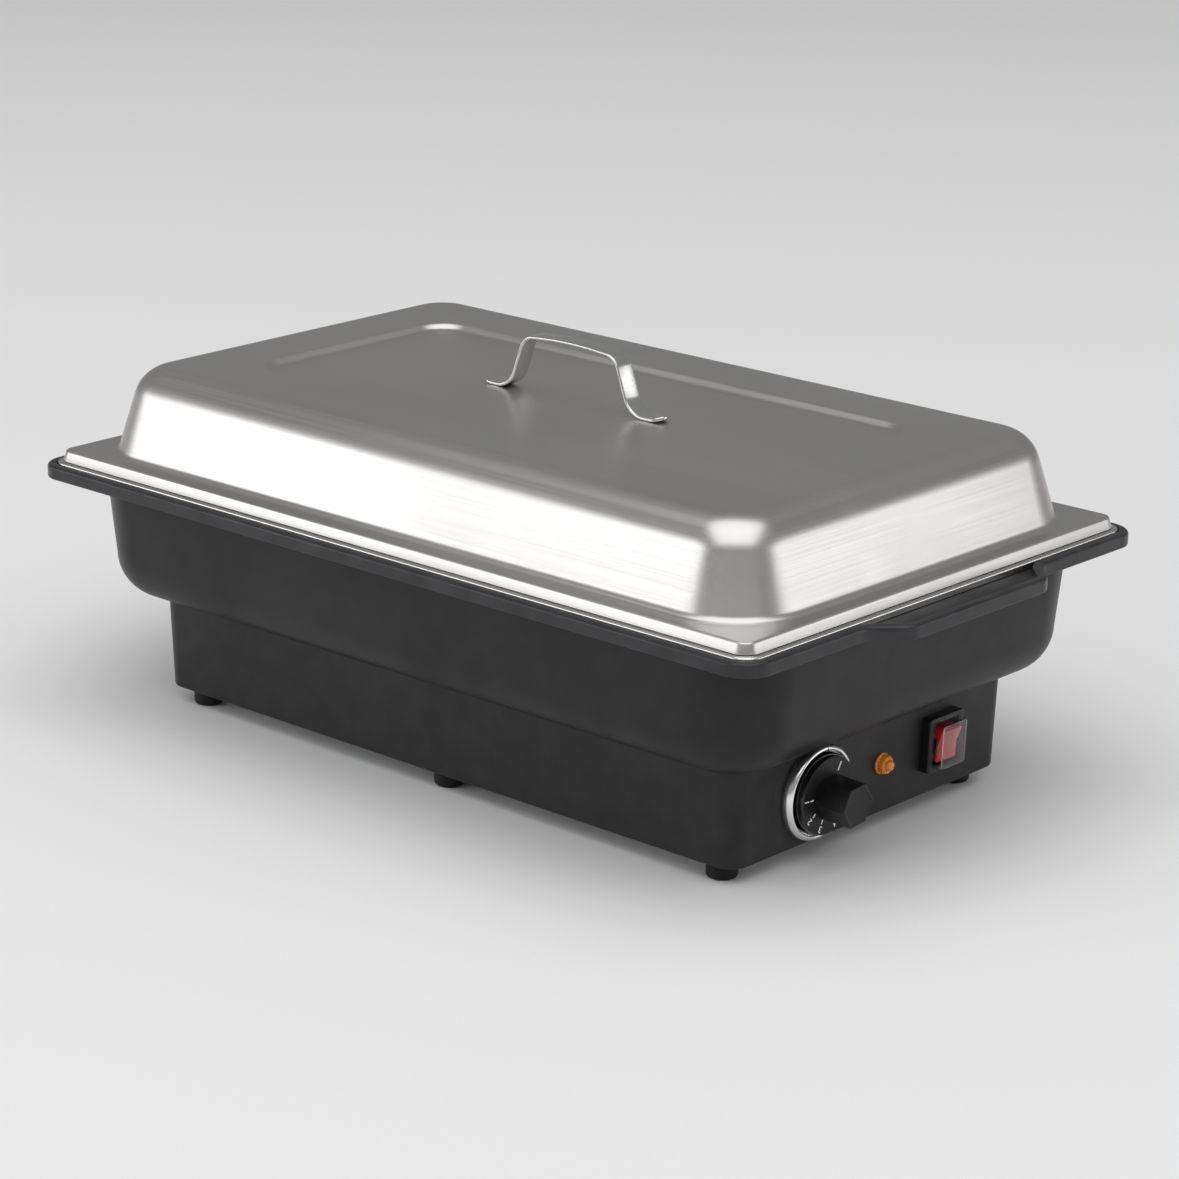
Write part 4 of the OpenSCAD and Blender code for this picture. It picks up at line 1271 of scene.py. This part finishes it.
@dataclass
class Knob:
    """The thermostat knob: a dial with printed marks and a hexagonal grip."""

    face: float = 10.5
    face_radius: float = 21.3
    skirt_radius: float = 22.9
    grip_radius: float = 12.6
    out: float = 30.0
    rest: float = 26.0
    print_height: float = 0.06
    off_line: tuple[float, float, float] = (14.3, 19.4, 1.05)
    tick: tuple[float, float, float] = (13.0, 15.6, 0.85)
    numeral_size: float = 5.2
    numeral_radius: float = 18.4
    numerals: tuple[tuple[str, float], ...] = (
        ("1", 274.0), ("2", 235.0), ("3", 199.0), ("4", 160.0),
    )

    def build(self, fx: Effects, panel: Panel) -> None:
        """Builds the knob and its marks and settles them."""
        frame = panel.at(panel.knob_y)
        rim, edge, face = self.skirt_radius, self.face_radius, self.face
        dial = turned("knob_dial", [
            (rim - 1.2, 1.8), (rim - 0.2, 1.9), (rim, 2.4), (rim - 0.9, face - 0.9),
            (edge + 0.55, face - 0.35), (edge + 0.2, face - 0.05), (edge - 0.2, face),
            (edge - 1.0, face), (self.grip_radius, face),
        ], 128)
        grip = turned("knob_grip_hex", [
            (self.grip_radius, face - 1), (self.grip_radius, self.out - 0.5),
            (self.grip_radius, self.out),
        ], 6)
        grip.open(Element.FACE)
        grip.pick(Element.FACE, lambda v: v.z > self.out - NEAR)
        bpy.ops.mesh.inset(thickness=1.3 * MM, depth=0.0)
        bpy.ops.mesh.inset(thickness=0.5 * MM, depth=-0.25 * MM)
        grip.close()
        grip.soften(0.55, 3, 25)
        dial.join([grip])
        dial.place(Matrix.Rotation(math.radians(-self.rest), 4, "Z"))
        dial.obj.data.materials.append(KNOB_PLASTIC.make(fx))
        limit = self.face_radius + 0.1
        dial.paint(KNOB_GLOSS.make(fx), lambda v: math.hypot(v.x, v.y) > limit and v.z < self.face)
        dial.settle("knob", "knob_plastic", "knob_grip", at=frame, angle=30)
        marks = self.build_marks()
        marks.settle("knob", "knob_plastic", finish=DIAL_PAINT.make(fx), at=frame, angle=None)

    def build_marks(self) -> Workpiece:
        """The off line, the ticks and the numerals, as one printed layer."""
        marks = self.line(self.off_line, self.rest)
        others = []
        for numeral, turn in self.numerals:
            others.append(self.line(self.tick, turn))
            others.append(self.figure(numeral, turn))
        marks.join(others)
        marks.obj.name = "dial_marks"
        return marks

    def line(self, sizes: tuple[float, float, float], turn: float) -> Workpiece:
        """A printed line that points away from the dial's middle.

        Args:
            sizes: The radius where it starts, the radius where it ends, and its width.
            turn: Its place in degrees clockwise from the top.

        Returns:
            The line.
        """
        start, end, width = sizes
        middle = Vector((0, (start + end) / 2, self.face + self.print_height / 2))
        made = block("dial_line", Vector((width, end - start, self.print_height + 0.1)), middle)
        made.soften(0.03, 1)
        made.place(Matrix.Rotation(-math.radians(turn), 4, "Z"))
        return made

    def figure(self, text: str, turn: float) -> Workpiece:
        """A printed numeral whose top points away from the dial's middle.

        Args:
            text: The numeral.
            turn: Its place in degrees clockwise from the top.

        Returns:
            The numeral.
        """
        deselect_all()
        bpy.ops.object.text_add(location=(0, 0, 0))
        body = bpy.context.object
        body.data.body = text
        body.data.size = self.numeral_size * MM
        body.data.extrude = self.print_height * MM / 2
        body.data.offset = 0.08 * MM
        body.data.align_x = "CENTER"
        body.data.align_y = "CENTER"
        bpy.ops.object.convert(target="MESH")
        made = Workpiece("dial_" + text)
        spot = Vector((0, self.numeral_radius, self.face + self.print_height / 2))
        lift = Matrix.Translation(spot * MM)
        made.place(Matrix.Rotation(-math.radians(turn), 4, "Z") @ lift)
        return made


@dataclass
class Bezel:
    """The chrome ring round the knob, with a small index mark."""

    outer: float = 27.0
    inner: float = 23.6
    out: float = 6.0
    index_turn: float = 6.0

    def build(self, fx: Effects, panel: Panel) -> None:
        """Builds the ring and its index and settles them."""
        frame = panel.at(panel.knob_y)
        middle = self.inner + 0.8
        crown = [
            (middle + (self.outer - middle) * math.cos(t), 0.8 + (self.out - 0.8) * math.sin(t))
            for t in (math.radians(90 * i / 12) for i in range(13))
        ]
        ring = turned("bezel_ring", [(self.outer - 0.4, 0.0)] + crown
                      + arc((middle, self.out - 0.8), 0.8, 90, 180, 5)[1:]
                      + [(self.inner, 1.0), (6.0, 1.0), (6.0, 0.0)], 128, ring=True)
        chrome = BEZEL_CHROME.make(fx)
        ring.settle("root", "bezel_chrome", "knob_bezel", finish=chrome, at=frame, angle=40)
        dot = turned("bezel_index", [(0.6, -0.35), (0.6, 0.05), (0.5, 0.12), (0.2, 0.15)], 24)
        turn = Matrix.Rotation(-math.radians(self.index_turn), 4, "Z")
        spot = frame @ turn @ Matrix.Translation(Vector((0, middle, self.out - 0.08)) * MM)
        dot.settle("root", "bezel_chrome", finish=INDEX_PAINT.make(fx), at=spot, angle=40)


@dataclass
class PilotLens:
    """The amber lamp lens with a ribbed side and a stepped dome."""

    flange: float = 6.0
    radius: float = 5.5
    out: float = 7.8
    ribs: int = 20
    rib_depth: float = 0.93

    def build(self, fx: Effects, panel: Panel) -> None:
        """Builds the lens and settles it."""
        wide, side = self.flange, self.radius
        lens = turned("pilot_lens_dome", [
            (wide - 0.2, 0.0), (wide, 0.2), (wide, 0.8), (side + 0.1, 1.1), (side, 1.5),
            (side - 0.2, 3.9), (side - 0.5, 4.5), (4.3, 4.9), (3.7, 4.6), (3.4, 4.8), (3.3, 5.6),
            (3.0, 6.5), (2.4, 7.2), (1.5, 7.65), (0.6, self.out),
        ], self.ribs * 2)
        lens.open()
        column = math.pi / self.ribs
        lens.pick(Element.VERTEX, lambda v: 1.4 < v.z < 4.6 and math.hypot(v.x, v.y) > 4.5
                  and round(math.atan2(v.y, v.x) / column) % 2 == 0)
        lens.scale(Vector((self.rib_depth, self.rib_depth, 1)), Vector((0, 0, 3)))
        lens.close()
        amber = LENS_AMBER.make(fx)
        spot = panel.at(panel.lamp_y)
        lens.settle("root", "lens_amber", "pilot_lens", finish=amber, at=spot, angle=24)


@dataclass
class MainsSwitch:
    """The mains switch: a frame, a red rocker and a clear splash cover."""

    frame_half: tuple[float, float] = (15.0, 16.0)
    frame_out: float = 6.0
    corner: float = 2.2
    edge: float = 1.0
    gap: float = 0.1
    cover_half: tuple[float, float] = (11.1, 13.0)
    cover_start: float = 4.0
    cover_out: float = 12.0
    cover_gauge: float = 0.8
    rocker_half: tuple[float, float] = (8.5, 9.6)
    rocker_front: float = 4.2
    rocker_back: float = 7.0
    rocker_dip: float = 1.6
    pivot: float = 4.4
    tilt: float = 10.0

    def build(self, fx: Effects, panel: Panel) -> None:
        """Builds the switch's pieces and settles them."""
        frame = panel.at(panel.switch_y, panel.switch_rise)
        self.build_frame(fx, frame)
        self.build_rocker(fx, frame)
        self.build_cover(fx, frame)

    def build_frame(self, fx: Effects, frame: Matrix) -> None:
        """The square frame with its opening."""
        out = self.frame_out
        rim = sheet("switch_frame_ring", self.frame_half, self.corner, [
            (0, 0.0), (0, out - self.edge), *round_over(self.edge, out, 4), (1.8, out),
        ], steps=5, open_end=True)
        seat = self.cover_start - 0.4
        mouth = (self.cover_half[0] + self.gap, self.cover_half[1] + self.gap)
        hole = sheet("switch_hole", mouth, self.corner, [
            (0, out), (0.3, out - 0.4), (0.3, seat), (1.0, seat), (1.0, 0.0),
        ], steps=5, open_end=True)
        rim.join([hole])
        rim.bridge(out)
        rim.bridge(0.0)
        rim.outward()
        plastic = SWITCH_PLASTIC.make(fx)
        rim.settle("root", "switch_plastic", "switch_frame", finish=plastic, at=frame, angle=35)

    def build_rocker(self, fx: Effects, frame: Matrix) -> None:
        """The red rocker, with a dip across its middle."""
        deep = self.rocker_front + self.rocker_back
        middle = Vector((0, 0, (self.rocker_front - self.rocker_back) / 2))
        size = Vector((2 * self.rocker_half[0], 2 * self.rocker_half[1], deep))
        rocker = block("rocker_button", size, middle)
        rocker.open()
        bpy.ops.mesh.bisect(plane_co=(0, 0, 0), plane_no=(0, 1, 0))
        rocker.pick(Element.VERTEX, lambda v: abs(v.y) < NEAR and v.z > 0)
        rocker.move(Vector((0, 0, -self.rocker_dip)))
        rocker.pick(Element.VERTEX, lambda v: v.z < 0 and abs(v.y) > 9)
        rocker.scale(Vector((1, 0.78, 1)), Vector((0, 0, 0)))
        rocker.close()
        rocker.soften(0.7, 3, 14)
        lift = Matrix.Translation((0, 0, self.pivot * MM))
        spot = frame @ lift @ Matrix.Rotation(math.radians(self.tilt), 4, "X")
        red = ROCKER_RED.make(fx)
        rocker.settle("rocker", "rocker_red", "rocker", finish=red, at=spot, angle=30)

    def build_cover(self, fx: Effects, frame: Matrix) -> None:
        """The clear cover over the rocker."""
        out = self.cover_out
        cover = sheet("splash_cover_shell", self.cover_half, self.corner, [
            (0, self.cover_start), (0, out - self.edge), *round_over(self.edge, out, 4), (1.6, out),
        ], steps=4)
        cover.thicken(self.cover_gauge)
        clear = COVER_CLEAR.make(fx)
        cover.settle("root", "cover_clear", "splash_cover", finish=clear, at=frame, angle=35)


# ---------- everything else ----------


def dress_nodes(frame: dict, fx: Effects) -> None:
    """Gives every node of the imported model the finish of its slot.

    Args:
        frame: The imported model.
        fx: The shared effects.
    """
    shown = (
        TANK_PLASTIC, HOUSING_PLASTIC, LID_STEEL, PAN_STEEL, HANDLE_STEEL, FOOT_RUBBER,
        KNOB_PLASTIC, BEZEL_CHROME, SWITCH_PLASTIC, LENS_AMBER, ROCKER_RED, COVER_CLEAR,
    )
    finishes = {finish.name: finish for finish in INNER_FINISHES + shown}
    made: dict[str, bpy.types.Material] = {}
    for part in frame["record"]["subparts"]:
        slot = part["material_slot"]
        if slot not in made:
            made[slot] = finishes[slot].make(fx)
        materials = frame["nodes"][part["node"]].data.materials
        materials.clear()
        materials.append(made[slot])
    LOG.info("dressed %d nodes with %d finishes", len(frame["nodes"]), len(made))


@dataclass(frozen=True)
class SoftBox:
    """A soft studio light that faces the object."""

    name: str
    place: tuple[float, float, float]
    size: tuple[float, float]
    power: float

    def build(self) -> None:
        """Adds the light."""
        light = bpy.data.lights.new(self.name, "AREA")
        light.shape = "RECTANGLE"
        light.size, light.size_y = self.size
        light.energy = self.power
        lamp = bpy.data.objects.new(self.name, light)
        bpy.context.scene.collection.objects.link(lamp)
        lamp.location = self.place
        aim = Vector((0, 0, 0.12)) - Vector(self.place)
        lamp.rotation_euler = aim.to_track_quat("-Z", "Y").to_euler()


@dataclass
class Studio:
    """A pale floor, soft lights, a grey surround and the camera."""

    eye: tuple[float, float, float] = (1.3572, -1.4879, 0.7236)
    azimuth: float = 42.1
    elevation: float = 17.43
    roll: float = 0.62
    lens: float = 112.6
    sensor: float = 36.0
    surround: float = 0.26
    floor_size: float = 14.0
    lights: tuple[SoftBox, ...] = (
        SoftBox("front_left", (-2.2, -2.6, 0.9), (3.3, 1.1), 26.0),
        SoftBox("right", (3.1, 2.2, 0.8), (2.8, 1.0), 17.0),
        SoftBox("overhead", (1.2, -1.4, 5.0), (7.5, 7.5), 250.0),
    )

    def build(self) -> None:
        """Builds the studio."""
        bpy.context.scene.view_settings.view_transform = "Standard"
        self.build_floor()
        self.build_surround()
        self.build_camera()
        for light in self.lights:
            light.build()

    def build_floor(self) -> None:
        """The pale floor."""
        deselect_all()
        bpy.ops.mesh.primitive_plane_add(size=self.floor_size, location=(0, 0, 0))
        floor = bpy.context.object
        floor.name = "studio_floor"
        material = bpy.data.materials.new("studio_paper")
        material.use_nodes = True
        g = Graph(material.node_tree)
        place = g.place()
        tooth = g.node("TexNoise", {"Vector": place, "Scale": 400.0})
        colour = g.blend(tooth.outputs[0], (0.93, 0.93, 0.93, 1), (0.96, 0.96, 0.96, 1))
        shader = material.node_tree.nodes["Principled BSDF"]
        shader.inputs["Roughness"].default_value = 0.9
        shader.inputs["Specular IOR Level"].default_value = 0.1
        connect(g, shader, Base_Color=colour)
        floor.data.materials.append(material)

    def build_surround(self) -> None:
        """The even light from all round."""
        world = bpy.data.worlds.new("studio")
        world.use_nodes = True
        back = world.node_tree.nodes["Background"]
        back.inputs[0].default_value = (self.surround, self.surround, self.surround, 1)
        back.inputs[1].default_value = 1.0
        bpy.context.scene.world = world

    def build_camera(self) -> None:
        """The camera, with its axes worked out from its azimuth, elevation and roll."""
        a, e, r = (math.radians(v) for v in (self.azimuth, self.elevation, self.roll))
        back = Vector((math.sin(a) * math.cos(e), -math.cos(a) * math.cos(e), math.sin(e)))
        right = Vector((math.cos(a), math.sin(a), 0))
        up = back.cross(right)
        right, up = right * math.cos(r) + up * math.sin(r), up * math.cos(r) - right * math.sin(r)
        data = bpy.data.cameras.new("camera")
        data.lens = self.lens
        data.sensor_width = self.sensor
        data.clip_end = 50
        camera = bpy.data.objects.new("camera", data)
        bpy.context.scene.collection.objects.link(camera)
        turn = Matrix((right, up, back)).transposed().to_4x4()
        camera.matrix_world = Matrix.Translation(self.eye) @ turn
        bpy.context.scene.camera = camera


def main() -> None:
    """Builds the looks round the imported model."""
    logging.basicConfig(level=logging.INFO, format="%(name)s: %(message)s")
    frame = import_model()
    Studio().build()
    fx = Effects()
    dress_nodes(frame, fx)
    panel = Panel()
    WaterTank().build(fx)
    BaseHousing().build(fx, panel)
    Feet().build(fx)
    FoodPan().build(fx)
    Lid().build(fx)
    LidHandle().build(fx)
    Knob().build(fx, panel)
    Bezel().build(fx, panel)
    PilotLens().build(fx, panel)
    MainsSwitch().build(fx, panel)
    deselect_all()


if __name__ == "__main__":
    main()
